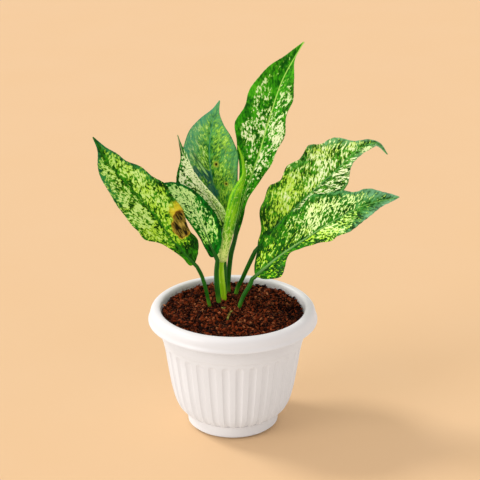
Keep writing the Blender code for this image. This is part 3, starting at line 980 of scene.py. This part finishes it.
def blade_surface(leaf, seed):
    """A blade's middle surface, with the reach, place, across and along of each point."""
    place = np.linspace(0, 1, BLADE_ROWS)
    reach = np.linspace(-1, 1, BLADE_COLUMNS)
    outward = np.abs(reach)[None, :]
    rib, sideways, upper = rib_frame(leaf, place)
    left_wave, right_wave, count, start = leaf["wave"]
    wave = np.where(reach < 0, left_wave, right_wave)[None, :]
    turn = math.tau * (count * place[:, None] + start + WAVE_LAG * np.sign(reach)[None, :])
    swaying = (soft_step(place, *SWAY_START) * soft_step(place, *SWAY_END))[:, None]
    rounded = np.sqrt(1 - np.clip(1 - place / BASE_ROUNDING, 0, 1) ** 2)
    left, right = (smooth_between(leaf[side], place) * rounded for side in ("left", "right"))
    half_width = np.maximum(np.where(reach[None, :] < 0, left[:, None], right[:, None]), NARROWEST)
    half_width = half_width * (1 - SCALLOP * wave * swaying * np.cos(SCALLOPS_PER_WAVE * turn))
    across = half_width * reach[None, :]
    along = np.repeat(walked(rib)[:, None], BLADE_COLUMNS, axis=1)
    from_rib = np.abs(across)
    lift = np.radians(leaf["fold"] + leaf["curl"] * outward / 2)
    rise = (np.hypot(across, FOLD_ROUNDING) - FOLD_ROUNDING) * np.sin(lift)
    rise = rise + wave * outward ** WAVE_RISE * np.sin(turn) * swaying
    vein = along - from_rib * leaf["slant"]
    rise = rise + VEIN_SWELL * np.cos(math.tau * vein / VEIN_SPACING) * soft_step(from_rib, *VEIN_START)
    rise = rise - RIB_GROOVE * np.exp(-(across / RIB_GROOVE_WIDTH) ** 2) * (1 - place[:, None])
    rise = rise + unevenness(across, along, seed) * soft_step(from_rib, *DENT_START)
    points = (rib[:, None] + sideways[:, None] * (across * np.cos(lift))[..., None]
              + upper[:, None] * rise[..., None])
    places = np.stack([np.repeat(reach[None, :], BLADE_ROWS, axis=0),
                       np.repeat(place[:, None], BLADE_COLUMNS, axis=1)], axis=-1)
    flat = np.stack([across, along], axis=-1)
    return points.reshape(-1, 3), places.reshape(-1, 2), flat.reshape(-1, 2)


for name, leaf in LEAVES.items():
    _, _, flat = blade_surface(leaf, 1)
    print(name, "blade", round(flat[:, 1].max()), "x", round(flat[:, 0].max() - flat[:, 0].min()), "mm")

# %% [markdown]
# ### How a blade is coloured
#
# Each cell of a variegated leaf is either green or nearly without green, and the pale cells grow
# in streaks along the side veins. So the pattern is noise that was stretched along the veins and
# then cut at a threshold: blotches a few millimetres long, broken up by specks. A level sets how
# much is pale, and it falls near the midrib, the margin, the tip and the base, where a leaf stays
# green. Just below the threshold lies a halo of yellow-green, because the pale cells sit in layers.
#
# The finish reads two UV maps: "place" runs from -1 to 1 across the leaf and from 0 to 1 along it,
# and "flat" holds the same two directions in millimetres.

# %% Blade looks
# share is how much of the leaf is pale, and patchy how unevenly. blotch is the size of a streak in
# mm, across and along a side vein, coarse is how much of the pattern is twice as large, and edge is
# how soft its outline is. rib_calm, margin_calm, tip_calm and base_calm are how green those parts
# stay, and tip_from and base_end are where the last two begin and end. dark and green are the green
# cells, halo, pale and cream the others, and creamy is how many of the pale ones are cream.
# cool is a painted sheen, a tint that stands in for the sky's reflection on the glossy
# leaf, bluish on most leaves: cool_share is its strength, cool_from where along
# the leaf it begins, and cool_margin how much sooner it does at the margins. rib is the
# midrib's colour and rib_share its strength. Where a setting has two numbers of a kind,
# margin_calm and creamy, they are for the left and the right half.
COMMON = dict(cool_from=0.7, cool_margin=0.5, rib_share=0.6)
LOOKS = {
    "left": dict(
        COMMON, seed=3.1, share=0.01, patchy=0.17, coarse=0.16, blotch=(1.5, 2.6), edge=0.02,
        rib_calm=0.085, margin_calm=(0.06, 0.13), tip_calm=0.12, tip_from=0.76, base_calm=0.2, base_end=0.2,
        dark="063400", green="3c9a08", halo="90d01c", pale="c4f23c", cream="dcfc90", creamy=(0.52, 0.4),
        cool="2c8452", cool_share=0.6, rib="2c7a10"),
    "front": dict(
        COMMON, seed=7.7, share=0.0, patchy=0.24, coarse=0.15, blotch=(1.15, 2.6), edge=0.015,
        rib_calm=-0.04, margin_calm=(0.12, 0.28), tip_calm=0.1, tip_from=0.8, base_calm=0.22, base_end=0.2,
        dark="003c00", green="0c8c10", halo="6cc83c", pale="bcff60", cream="e0ffa0", creamy=(0.6, 0.6),
        cool="107c3c", cool_share=0.3, rib="a8dc7c", rib_share=0.4),
    "centre": dict(
        COMMON, seed=12.9, share=-0.015, patchy=0.2, coarse=0.15, blotch=(1.1, 2.8), edge=0.035,
        rib_calm=0.12, margin_calm=(0.03, 0.14), tip_calm=0.06, tip_from=0.72, base_calm=0.0, base_end=0.5,
        dark="0c5a10", green="50b030", halo="90d030", pale="bcf04c", cream="dcfc9c", creamy=(0.4, 0.25),
        cool="70bc74", cool_share=0.7, cool_from=0.42, cool_margin=0.45, rib="549c78"),
    "narrow": dict(
        COMMON, seed=18.3, share=0.04, patchy=0.16, coarse=0.2, blotch=(1.1, 1.8), edge=0.014,
        rib_calm=-0.04, margin_calm=(0.32, -0.05), tip_calm=0.3, tip_from=0.7, base_calm=0.02, base_end=0.1,
        dark="043c00", green="2c8e10", halo="90cc48", pale="ccfc60", cream="f6ffc8", creamy=(0.62, 0.6),
        cool="3c9458", cool_share=0.2, rib="e4f4b4", rib_share=0.4),
    "tall": dict(
        COMMON, seed=23.5, share=-0.01, patchy=0.34, coarse=0.26, blotch=(1.5, 2.8), edge=0.018,
        rib_calm=0.02, margin_calm=(0.22, 0.06), tip_calm=0.15, tip_from=0.56, base_calm=0.16, base_end=0.3,
        dark="085400", green="3ca808", halo="84cc28", pale="ccfc6c", cream="f6ffc8", creamy=(0.6, 0.85),
        cool="5cbc18", cool_share=0.6, cool_from=0.62, cool_margin=0.25, rib="b4e864", rib_share=0.95),
    "upper_right": dict(
        COMMON, seed=31.7, share=0.012, patchy=0.24, coarse=0.2, blotch=(1.3, 4.2), edge=0.012,
        rib_calm=0.07, margin_calm=(0.08, 0.06), tip_calm=0.12, tip_from=0.7, base_calm=0.09, base_end=0.22,
        dark="083800", green="48a008", halo="98d020", pale="c6ec48", cream="f6ffc8", creamy=(0.42, 0.75),
        cool="8cc090", cool_share=0.85, cool_from=0.58, cool_margin=0.3, rib="5ca44c"),
    "lower_right": dict(
        COMMON, seed=38.9, share=0.0, patchy=0.2, coarse=0.18, blotch=(1.2, 3.0), edge=0.013,
        rib_calm=0.06, margin_calm=(0.12, 0.06), tip_calm=0.14, tip_from=0.66, base_calm=0.05, base_end=0.5,
        dark="043800", green="308c00", halo="84c810", pale="c0ee34", cream="ecffb0", creamy=(0.55, 0.4),
        cool="84bc90", cool_share=0.85, cool_from=0.56, cool_margin=0.2, rib="7cb44c", rib_share=0.5),
}
print("looks for", ", ".join(LOOKS))


# %% Places on a blade
LAYER_STEP = 3.7       # between the noise of the left half, of the rib and of the right half
DRIFT_PLACES = 0.06    # how many times a mm the streaks change their drift
DRIFT = 4              # mm, twice as far as a streak can stray from its vein
SIDE_CHANGE = 0.05     # on the map, how near the rib one half's setting gives way to the other's


class BladeRecipe(Recipe):
    """A recipe that knows where it is on a blade."""

    def __init__(self, name, seed, slant):
        super().__init__(name, IOR=1.42, Specular_IOR_Level=0.1)
        self.reach, self.place_along, _ = self.parts(self.uv("place"))
        self.across, self.along, _ = self.parts(self.uv("flat"))
        self.outward = abs(self.across)
        self.margin = abs(self.reach)
        self.layer = self.across.math("SIGN", self.across) * LAYER_STEP + seed
        drift = self.noise_at(self.across * DRIFT_PLACES, self.along * DRIFT_PLACES, seed, detail=1.0) - 0.5
        spread = math.hypot(1, slant)
        self.off_vein = (self.along - self.outward * slant) * (1 / spread) + drift * DRIFT
        self.down_vein = (self.outward + self.along * slant) * (1 / spread)

    def by_side(self, left, right):
        """One value for the left half and another for the right."""
        return self.rise(self.reach, -SIDE_CHANGE, SIDE_CHANGE) * (right - left) + left

    def streaks(self, wide, long, shift, detail=2.0, roughness=0.5):
        """Noise drawn out along the side veins. wide and long are its size in mm."""
        place = (self.off_vein / wide, self.down_vein / long, self.layer + shift)
        return self.noise_at(*place, detail, roughness)


print("streaks follow the side veins, and drift by up to", DRIFT / 2, "mm")


# %% Speckles
def pale_level(recipe, look):
    """Above 0 where the blade is pale, from the size and the share of its blotches."""
    wide, long = look["blotch"]
    blotches = recipe.streaks(wide * 2.2, long * 2.2, 0, detail=1.0)
    specks = recipe.streaks(wide, long, 11, detail=3.0, roughness=0.65)
    patches = recipe.streaks(12.0, 18.0, 23, detail=1.0)
    near_rib = recipe.rise(recipe.outward, 3.2, 0.6)
    near_margin = recipe.rise(recipe.margin + (specks - 0.5) * 0.25, 0.7, 0.97)
    near_tip = recipe.rise(recipe.place_along, look["tip_from"], 0.96)
    near_base = recipe.rise(recipe.place_along, look["base_end"], look["base_end"] * 0.35)
    calm = near_rib * look["rib_calm"] + near_margin * recipe.by_side(*look["margin_calm"])
    calm = calm + near_tip * look["tip_calm"] + near_base * look["base_calm"]
    coarse = look["coarse"]
    level = (blotches - 0.5) * coarse + (specks - 0.5) * (1 - coarse) + (patches - 0.5) * look["patchy"]
    return level + look["share"] - calm


def blade_colour(recipe, look, level):
    """The colour of each point, and the fine streaks that its gloss and its relief follow."""
    fine = recipe.streaks(0.6, 3.0, 31, detail=3.0)
    tones = recipe.streaks(1.6, 3.2, 37, detail=2.0)
    broad = recipe.streaks(8.0, 12.0, 43, detail=1.0)
    depth = fine * 0.2 + tones * 0.6 + broad * 0.5
    green = recipe.lay(colour(look["dark"]), look["green"], depth, 0.52, 0.82)
    green = recipe.lay(green, look["halo"], depth, 0.74, 1.0, 0.5)
    # painted sheen: towards the margins and the tip the green takes a tint that stands in for the sky's
    # reflection
    painted_sheen_mask = recipe.margin * look["cool_margin"] + recipe.place_along * 0.7 + (depth - 0.65) * 0.8
    painted_sheen_mask = recipe.rise(painted_sheen_mask, look["cool_from"], look["cool_from"] + 0.4)
    green = recipe.mix(painted_sheen_mask * look["cool_share"], green, colour(look["cool"]))
    edge = look["edge"]
    shade = recipe.lay(green, look["halo"], level, -3 * edge, 0.3 * edge, 0.7)
    further = recipe.rise(recipe.place_along, 0.1, 0.6) * 0.3
    creamy = tones * 0.5 + broad * 0.5 + level * 1.5 + further + recipe.by_side(*look["creamy"])
    pale = recipe.lay(colour(look["pale"]), look["cream"], creamy, 1.07, 1.45)
    pale = recipe.lay(pale, look["halo"], recipe.place_along, look["tip_from"] - 0.1, 0.98, 0.5)
    shade = recipe.mix(recipe.rise(level, 0, 2 * edge), shade, pale)
    rib_width = 0.9 - recipe.place_along * 0.5
    shade = recipe.lay(shade, look["rib"], recipe.outward / rib_width, 1.25, 0.6, look["rib_share"])
    return shade, fine


print("speckles are dark, green, halo, pale or cream")

# %% [markdown]
# Two leaves have marks of their own. The left leaf has a dead patch by its base, brown and dry
# with darker streaks, narrower at its foot and inside a yellow rim. The centre leaf has two small
# dark dots with a yellow ring, and it is streaked along its side veins, bluish towards its left
# margin and dark at the very edge. It also carries painted light: three dark bluish patches of
# painted shadow where the leaves in front shade it, and a pale streak with dark edges, the painted
# highlight and painted shade of a small raised fold. Each mark is the distance from a point on the
# "flat" map, roughened by noise.

# %% Marks on two leaves
SCORCH_CENTRE = (11.6, 29.4)    # across and along the blade, in mm
SCORCH_HALF_SIZE = (6.9, 13.0)
SCORCH_LEAN = math.radians(24)
GLOW_CENTRE = (16.0, 41.0)
GLOW_HALF_SIZE = (7.0, 7.5)
DOTS = [(4.9, 54.0, 1.0), (10.0, 36.4, 0.8)]  # across, along and radius, in mm
# painted shadow: three dark bluish patches where the leaves in front shade the centre leaf
PAINTED_SHADOWS = [(-11.5, 50.0, 6.0), (-3.5, 46.0, 7.0), (-2.0, 34.0, 8.0)]
PAINTED_SHADOW_LEAN = math.radians(-24)
# a small raised fold, drawn in colour only: a pale streak with its highlight and its shade painted in
PAINTED_FOLD_CENTRE = (-6.2, 52.0)
PAINTED_FOLD_HALF_SIZE = (0.8, 7.5)
PAINTED_FOLD_LEAN = math.radians(-29)


def off_ellipse(recipe, centre, half_size, lean=0.0):
    """1 on an ellipse's outline, less inside it and more outside."""
    x = recipe.across - centre[0]
    y = recipe.along - centre[1]
    first = (x * math.cos(lean) - y * math.sin(lean)) / half_size[0]
    second = (x * math.sin(lean) + y * math.cos(lean)) / half_size[1]
    return (first * first + second * second) ** 0.5


def scorched(recipe, shade):
    """The dead patch of the left leaf, and the yellow glow beside it."""
    rough = recipe.streaks(4.0, 6.0, 57, detail=3.0) - 0.5
    foot = recipe.rise(recipe.along + recipe.across * 0.9, 36, 24)
    off = off_ellipse(recipe, SCORCH_CENTRE, SCORCH_HALF_SIZE, SCORCH_LEAN) + rough * 0.8 + foot * 0.35
    glow = off_ellipse(recipe, GLOW_CENTRE, GLOW_HALF_SIZE) + rough * 1.5
    lines = recipe.noise_at(recipe.across / 1.6, recipe.along / 9, 2.0, detail=3.0)
    dry = recipe.lay(colour("1e1800"), "847222", lines, 0.44, 0.54)
    dry = recipe.lay(dry, "c0a444", lines, 0.54, 0.66)
    dry = recipe.lay(dry, "8c5c10", off, 0.78, 1.0, 0.7)
    shade = recipe.lay(shade, "f4dc30", glow, 1.2, 0.35, 0.85)
    shade = recipe.lay(shade, "dcb830", off, 1.16, 1.02, 0.8)
    return recipe.mix(recipe.rise(off, 1.04, 0.96), shade, dry)


def dotted(recipe, shade):
    """The streaks and dots of the centre leaf, with its painted shadows and its painted fold."""
    rough = recipe.streaks(2.0, 2.0, 61, detail=2.0) - 0.5
    lines = recipe.streaks(1.3, 6.0, 67, detail=3.0)
    shade = recipe.lay(shade, "a8dc54", lines, 0.5, 0.68, 0.3)
    shade = recipe.lay(shade, "1c6840", lines, 0.48, 0.34, 0.5)
    shade = recipe.lay(shade, "44a08c", recipe.reach + rough, -0.15, -1.0, 0.5)
    shade = recipe.lay(shade, "1c6c3c", recipe.margin, 0.94, 0.99, 0.6)
    # painted shadow: dark bluish patches where other leaves shade this one
    for across, along, radius in PAINTED_SHADOWS:
        off = off_ellipse(recipe, (across, along), (radius * 0.55, radius), PAINTED_SHADOW_LEAN) + rough
        shade = recipe.lay(shade, "205c68", off, 1.1, 0.5, 0.75)
    for across, along, radius in DOTS:
        off = off_ellipse(recipe, (across, along), (radius, radius * 1.2)) + rough * 0.5
        shade = recipe.lay(shade, "b4b83c", off, 3.0, 1.4, 0.8)
        shade = recipe.lay(shade, "2a2808", off, 1.2, 0.7)
    # painted highlight and painted shade of a small fold: dark edges round a pale middle
    off = off_ellipse(recipe, PAINTED_FOLD_CENTRE, PAINTED_FOLD_HALF_SIZE, PAINTED_FOLD_LEAN) + rough * 0.4
    shade = recipe.lay(shade, "1c5c3c", off, 2.6, 1.3, 0.7)
    return recipe.lay(shade, "a8dc80", off, 1.2, 0.7)


MARKS = {"left": scorched, "centre": dotted}
print("marks on the leaves", " and ".join(MARKS))

# %% [markdown]
# Both sides of a blade show the same pattern. The underside is paler and matt, as though the
# colours shone through from above, so it is the same recipe under a veil of grey-green. The
# material changes at the margin, where the sheet turns over.

# %% Blade finish
VEIL = colour("86aa6c")
VEIL_SHARE = 0.6


def blade_finish(name, look, underside=False):
    side = "underside" if underside else "upper side"
    recipe = BladeRecipe(f"{name} blade, {side}", look["seed"], LEAVES[name]["slant"])
    shade, fine = blade_colour(recipe, look, pale_level(recipe, look))
    if underside:
        return recipe.finished(recipe.mix(VEIL_SHARE, shade, VEIL), fine, (0.5, 0.2), (0.0003, 0.5))
    if name in MARKS:
        shade = MARKS[name](recipe, shade)
    return recipe.finished(shade, fine, (0.42, 0.2), (0.00025, 0.35))


print("blade finishes are ready")

# %% Blade pieces
BLADE_THICKNESS = 0.55    # mm
MARGIN_THICKNESS = 0.35   # as a share of that


def make_blade(name, leaf, look):
    points, places, flat = blade_surface(leaf, look["seed"])
    faces = grid_faces(BLADE_ROWS, BLADE_COLUMNS)
    finishes = [blade_finish(name, look), blade_finish(name, look, underside=True)]
    blade = add_piece(f"{name}_blade", points * MM, faces, finishes, [f"leaf_{name}_blade"])
    add_map(blade.data, "place", places)
    add_map(blade.data, "flat", flat)
    thick = blade.vertex_groups.new(name="thick")
    for index, reach in enumerate(np.abs(places[:, 0])):
        thick.add([index], float(1 - reach ** 3), "REPLACE")
    thicken(blade, BLADE_THICKNESS, vertex_group="thick", thickness_vertex_group=MARGIN_THICKNESS,
            material_offset=1)
    return blade


for name, leaf in LEAVES.items():
    blade = make_blade(name, leaf, LOOKS[name])
    tell(blade)

# %% [markdown]
# ## The stalks
#
# A stalk rises from the crown, a little thinner at its foot, and runs on under the blade as the
# midrib, where it tapers away. One tube does both, so there is no joint to see. Where the midrib
# stands proud on the upper side too, the tube is lifted into the sheet instead of hanging below it.

# %% Stalk pieces
STALK_SIDES = 20
STALK_RINGS = 40
STALK_END = 3.0             # mm, how far from the blade's base the free part's last point lies
TAPER_RINGS = 6             # the last rings of the free part narrow to the midrib
RIB_RINGS = 40
RIB_END = 0.93              # the share of the blade's length that the tube runs under it
RIB_START = 0.85            # the midrib's radius at the base, over the stalk's
RIB_TAPER = 1.15            # 1 for an even taper, more to thin out sooner
RIB_THINNEST = 0.12         # mm
RIB_GAP = 0.1               # mm, from the sheet's middle to where the tube starts to sink
RIB_SINK = {"lower_right": 0.3}
RIB_SINK_ELSEWHERE = 0.85   # how far the tube's centre lies under the sheet, over its radius


def stalk_line(rows, base, direction):
    """The free part of a stalk, from the crown to a little way short of the blade's base."""
    straight = base - direction * STALK_END
    return smooth_line([*rows, straight], STALK_RINGS)


def stalk_with_rib(name, leaf):
    """The line of a stalk and of the midrib after it, and the radius at each point."""
    place = np.linspace(0, RIB_END, RIB_RINGS)
    rib, _, upper = rib_frame(leaf, place)
    foot, top = leaf["radii"]
    rib_radii = top * RIB_START * (1 - place) ** RIB_TAPER + RIB_THINNEST
    sunk = rib_radii * RIB_SINK.get(name, RIB_SINK_ELSEWHERE) * soft_step(place, 0, 0.1)
    under = rib - upper * (sunk + RIB_GAP)[:, None]
    free = stalk_line(leaf["stalk"], rib[0], unit(rib[1] - rib[0]))
    free_radii = np.linspace(foot, top, STALK_RINGS)
    free_radii[-TAPER_RINGS:] = np.linspace(free_radii[-TAPER_RINGS], rib_radii[0], TAPER_RINGS)
    return np.concatenate([free, under]), np.concatenate([free_radii, rib_radii])


def stalk_bulge(place, turn):
    """A stalk is not quite round: one side is a little flat, and it swells and thins."""
    return 1 - 0.06 * np.cos(turn) + 0.03 * np.sin(9 * place + 2 * turn)


def add_stalk(name, line, radii, finish, stands_for):
    """A stalk's piece, with a map of the way round it and one of the way past its free part."""
    points, faces = tube_grid(line, radii, STALK_SIDES, stalk_bulge)
    stalk = add_piece(name, points * MM, faces, [finish], [stands_for])
    turn = np.linspace(0, math.tau, STALK_SIDES, endpoint=False)
    add_map(stalk.data, "round", [(math.cos(angle), math.sin(angle)) for _ in line for angle in turn])
    past_stalk = np.arange(len(line)) / STALK_RINGS - 1
    add_map(stalk.data, "past", [(ring, 0) for ring in past_stalk for _ in turn])
    return stalk


print("stalks have", STALK_RINGS, "rings and their midribs", RIB_RINGS)

# %% [markdown]
# ### Stalk colour
#
# The old stalks are dark green with fine lengthwise lines and a few pale freckles, and paler just
# above the soil. The young one is a bright yellow-green. The "round" map holds the cosine and sine
# of the way round the stalk, so that noise on it meets itself without a seam. The "past" map rises
# through 0 where the stalk turns into the midrib, which has a colour of its own. One leaf's midrib
# stands out pale, so its stalk has its own finish.

# %% Stalk finishes
def stalk_finish(name, dark, middle, light, foot, rib, streaky):
    recipe = Recipe(name, IOR=1.42, Specular_IOR_Level=0.25)
    turned_x, turned_y, _ = recipe.parts(recipe.uv("round"))
    past, _, _ = recipe.parts(recipe.uv("past"))
    x, y, z = recipe.parts(recipe.place())
    lines = recipe.noise_at(turned_x * 2.2, turned_y * 2.2, z * 22, detail=3.0)
    freckles = recipe.noise_at(x * 700, y * 700, z * 260, detail=2.0)
    shade = recipe.lay(colour(dark), middle, lines, 0.36, 0.6)
    shade = recipe.lay(shade, light, lines, 0.52, 0.74, streaky)
    shade = recipe.lay(shade, light, freckles, 0.62, 0.74, streaky * 0.6)
    shade = recipe.lay(shade, foot, z + lines * 0.006, 0.11, 0.099, 0.7)
    shade = recipe.lay(shade, rib, past + lines * 0.1, 0.0, 0.2, 0.8)
    return recipe.finished(shade, lines, (0.34, 0.2), (0.0003, 0.4))


STALK_GREENS = ("0c3a04", "247010", "58a42c")   # dark, middle and light
green_stalk = stalk_finish("green stalk", *STALK_GREENS, "74b830", "2c6c14", 0.6)
pale_ribbed_stalk = stalk_finish("pale-ribbed stalk", *STALK_GREENS, "5ca02c", "80b458", 0.6)
for name, leaf in LEAVES.items():
    line, radii = stalk_with_rib(name, leaf)
    finish = pale_ribbed_stalk if name in RIB_SINK else green_stalk
    stalk = add_stalk(f"{name}_stalk", line, radii, finish, f"leaf_{name}_stalk")
    tell(stalk)

# %% [markdown]
# ## The rolled leaf
#
# The youngest leaf is still wound round itself. Wound is the word for how it is made, too: every
# cross-section is a spiral of a turn and a quarter, so that one margin lies free on the outside.
# The sections follow a bent line, narrow to a neck and end in a long thin point. At the foot the
# outer layer slants up from the front left, and the stalk comes out of it.

# %% Rolled sheet
ROLLED_LINE = [(-9, 14, 128.5), (-8.3, 14.1, 132), (-6.4, 14.5, 141.5), (-3.3, 15.2, 155.5),
               (-0.6, 16, 169.5), (1.7, 16.9, 180.5), (4.7, 17.7, 188.5), (8.1, 18.5, 196.5),
               (8.5, 19.4, 202.5), (6.6, 20.2, 212.5), (3.8, 21, 220.5)]
ROLLED_RADII = [3.4, 4.2, 4.3, 4.7, 4.9, 4.7, 3.5, 1.8, 1.4, 0.9, 0.3]
ROLLED_STALK = [(-6.1, 13, 77), (-7.6, 12.8, 97), (-8.1, 13, 106), (-9, 13.6, 117)]
ROLLED_STALK_RADII = (2.7, 2.5)
ROLL_ROWS = 120
ROLL_COLUMNS = 64
ROLL_TURNS = 1.28
ROLL_SEAM = math.radians(205)   # where the free margin lies at the foot
ROLL_TWIST = math.radians(75)   # and how far it has turned at the tip
ROLL_INNER = 0.72               # the innermost radius, over the outermost
ROLL_NARROWEST = 0.25           # mm, the radius at the point
ROLL_THICKNESS = 0.3            # mm
COLLAR = 0.06                   # how far the outer layer's foot curves up
COLLAR_LOW = math.radians(20)   # and where it reaches lowest
COLLAR_FADE = 8                 # how soon the sections above it are level again


def rolled_surface():
    """The wound sheet, with the place across and along it of each point."""
    place = np.linspace(0, 1, ROLL_ROWS)[:, None]
    wound = np.linspace(0, 1, ROLL_COLUMNS)[None, :]
    turn = ROLL_SEAM - math.tau * ROLL_TURNS * (1 - wound) + ROLL_TWIST * place
    cut = COLLAR * np.abs(np.sin((turn - COLLAR_LOW) / 2)) * (1 - place) ** COLLAR_FADE
    lifted = np.clip(place + cut, 0, 1)
    sides, others = ring_frames(smooth_line(ROLLED_LINE, CURVE_STEPS))
    index = (lifted * (CURVE_STEPS - 1)).round().astype(int)
    radii = smooth_between(ROLLED_RADII, lifted.ravel()).reshape(lifted.shape)
    radii = np.maximum(radii, ROLL_NARROWEST)
    radii = radii * (ROLL_INNER + (1 - ROLL_INNER) * wound)
    centre = smooth_between(ROLLED_LINE, lifted.ravel()).reshape(*lifted.shape, 3)
    spokes = sides[index] * np.cos(turn)[..., None] + others[index] * np.sin(turn)[..., None]
    points = centre + spokes * radii[..., None]
    places = np.stack(np.broadcast_arrays(wound, place), axis=-1)
    return points.reshape(-1, 3), places.reshape(-1, 2)


roll_points, roll_places = rolled_surface()
print("the roll has", len(roll_points), "points")


# %% Rolled blade
def rolled_finish():
    """Fresh green with lengthwise veins, mottled near its foot and pale at its free margin."""
    recipe = Recipe("rolled blade", IOR=1.42, Specular_IOR_Level=0.2)
    wound, place, _ = recipe.parts(recipe.uv("place"))
    veins = recipe.noise_at(wound * 26, place * 5, 1.0, detail=3.0)
    mottle = recipe.noise_at(wound * 30, place * 50, 4.0, detail=3.0, roughness=0.6)
    patches = recipe.noise_at(wound * 9, place * 11, 9.0, detail=2.0)
    shade = recipe.lay(colour("449c04"), "90d010", veins * 0.6 + patches * 0.4, 0.38, 0.6)
    low = recipe.rise(place, 0.4, 0.12)
    shade = recipe.lay(shade, "f0ff90", mottle + low * 0.2, 0.56, 0.66, low * 0.6 + 0.35)
    shade = recipe.lay(shade, "58a80c", mottle + low * 0.12, 0.5, 0.4, low * 0.7)
    shade = recipe.lay(shade, "bce850", wound, 0.975, 0.995)
    return recipe.finished(shade, veins, (0.36, 0.18), (0.0003, 0.5))


roll = add_piece("rolled_blade", roll_points * MM, grid_faces(ROLL_ROWS, ROLL_COLUMNS), [rolled_finish()],
                 ["leaf_rolled_blade"])
add_map(roll.data, "place", roll_places)
thicken(roll, ROLL_THICKNESS)
tell(roll)

# %% Young stalk
WITHIN_ROLL = 0.3      # the share of the roll's length that the stalk runs up inside it
WITHIN_RINGS = 20

young_stalk = stalk_finish("young stalk", "64b800", "b4f010", "f0ff70", "b4f010", "d8f858", 0.9)
young_base = np.array(ROLLED_LINE[0], float)
free_line = stalk_line(ROLLED_STALK, young_base, unit(np.array(ROLLED_LINE[1]) - young_base))
hidden_line = smooth_between(ROLLED_LINE, np.linspace(0, WITHIN_ROLL, WITHIN_RINGS))
young_line = np.concatenate([free_line, hidden_line])
young_foot, young_top = ROLLED_STALK_RADII
free_radii = np.linspace(young_foot, young_top, STALK_RINGS)
young_radii = np.concatenate([free_radii, np.linspace(young_top, young_top / 2, WITHIN_RINGS)])
stalk = add_stalk("rolled_stalk", young_line, young_radii, young_stalk, "leaf_rolled_stalk")
tell(stalk)

# %% [markdown]
# ## The small shoot
#
# A moss-like shoot has come up by itself in front of the stalks: a bent stem with a few tiny
# leaves. Each of its leaves is a small grid too, cupped and pointed. A low tuft of the same leaves
# grows a little further back.

# %% Shoot shape
SHOOT_LINE = [(-3.6, -26, 91), (-3.9, -26, 96), (-3.2, -24.8, 100), (-0.9, -23.2, 103.7)]
SHOOT_RADII = [0.7, 0.7, 0.5, 0.3]
SHOOT_RINGS = 18
SHOOT_SIDES = 10
SHOOT_LEAVES = 46
SHOOT_LEAF = ((0.1, 0.9), (0.9, 1.7), (0.35, 0.6))   # the least and the most rise, length and width
SHOOT_SEED = 4
LOWEST_LEAF = 0.38       # as a share of the stem's length
TUFT = (-7.6, -7.0)
TUFT_LEAVES = 16
TUFT_LEAF = ((0.4, 1.2), (0.9, 1.6), (0.35, 0.55))
TUFT_SPREAD = 1.1
TUFT_LIFT = 0.6
LEAF_TURN = 2.4          # radians from one leaf to the next, as leaves grow in a spiral
LEAF_ROWS = 6
LEAF_COLUMNS = 5
LEAF_CUP = 0.35          # how far a margin stands up, over the half width
LEAF_DROOP = 0.25        # how far the tip bends down, over the length


def small_leaf(base, heading, limits, rng):
    """A cupped, pointed leaf of random rise, length and width that sets out along a heading."""
    rise, length, width = (rng.uniform(least, most) for least, most in limits)
    out = np.array([math.cos(heading) * math.cos(rise), math.sin(heading) * math.cos(rise), math.sin(rise)])
    side = np.array([-math.sin(heading), math.cos(heading), 0.0])
    upward = np.cross(out, side)
    points = []
    for place in np.linspace(0, 1, LEAF_ROWS):
        half = width * math.sin(math.pi * min(place * 0.9 + 0.08, 1)) ** 0.8
        for reach in np.linspace(-1, 1, LEAF_COLUMNS):
            lift = LEAF_CUP * half * reach * reach - LEAF_DROOP * length * place * place
            points.append(base + out * place * length + side * half * reach + upward * lift)
    return np.array(points), grid_faces(LEAF_ROWS, LEAF_COLUMNS)


def shoot_grids():
    """The stem, its leaves and the tuft."""
    rng = random.Random(SHOOT_SEED)
    line = smooth_line(SHOOT_LINE, SHOOT_RINGS)
    grids = [tube_grid(line, smooth_line(SHOOT_RADII, SHOOT_RINGS), SHOOT_SIDES)]
    for index in range(SHOOT_LEAVES):
        share = LOWEST_LEAF + (1 - LOWEST_LEAF) * (index / (SHOOT_LEAVES - 1)) ** 0.8
        base = smooth_between(SHOOT_LINE, [share])[0]
        grids.append(small_leaf(base, index * LEAF_TURN, SHOOT_LEAF, rng))
    foot = np.array([*TUFT, soil_height(*TUFT) + TUFT_LIFT])
    for index in range(TUFT_LEAVES):
        x, y = (rng.uniform(-TUFT_SPREAD, TUFT_SPREAD) for _ in range(2))
        base = foot + [x, y, rng.uniform(0.2, 1.0)]
        grids.append(small_leaf(base, index * LEAF_TURN, TUFT_LEAF, rng))
    return joined(grids)


shoot_points, shoot_faces = shoot_grids()
print("the shoot and its tuft have", SHOOT_LEAVES + TUFT_LEAVES, "leaves")


# %% Small shoot
def shoot_finish():
    """Straw-coloured where the shoot stands in the light, and dark green low down."""
    recipe = Recipe("mossy shoot", IOR=1.42)
    place = recipe.place()
    tufts = recipe.noise(place, 600.0, detail=3.0)
    _, _, z = recipe.parts(place)
    shade = recipe.lay(colour("6c6414"), "a09c38", tufts, 0.38, 0.6)
    shade = recipe.lay(shade, "d8d070", tufts, 0.56, 0.7)
    shade = recipe.lay(shade, "1c4c10", z, 0.1, 0.097, 0.85)
    return recipe.finished(shade, tufts, (0.55, 0.2), (0.0003, 0.6))


shoot = add_piece("small_shoot", shoot_points * MM, shoot_faces, [shoot_finish()], ["sprout"])
tell(shoot)

# %% [markdown]
# ## Size and finish
#
# The dressed plant has to fill the same box as the CAD model.
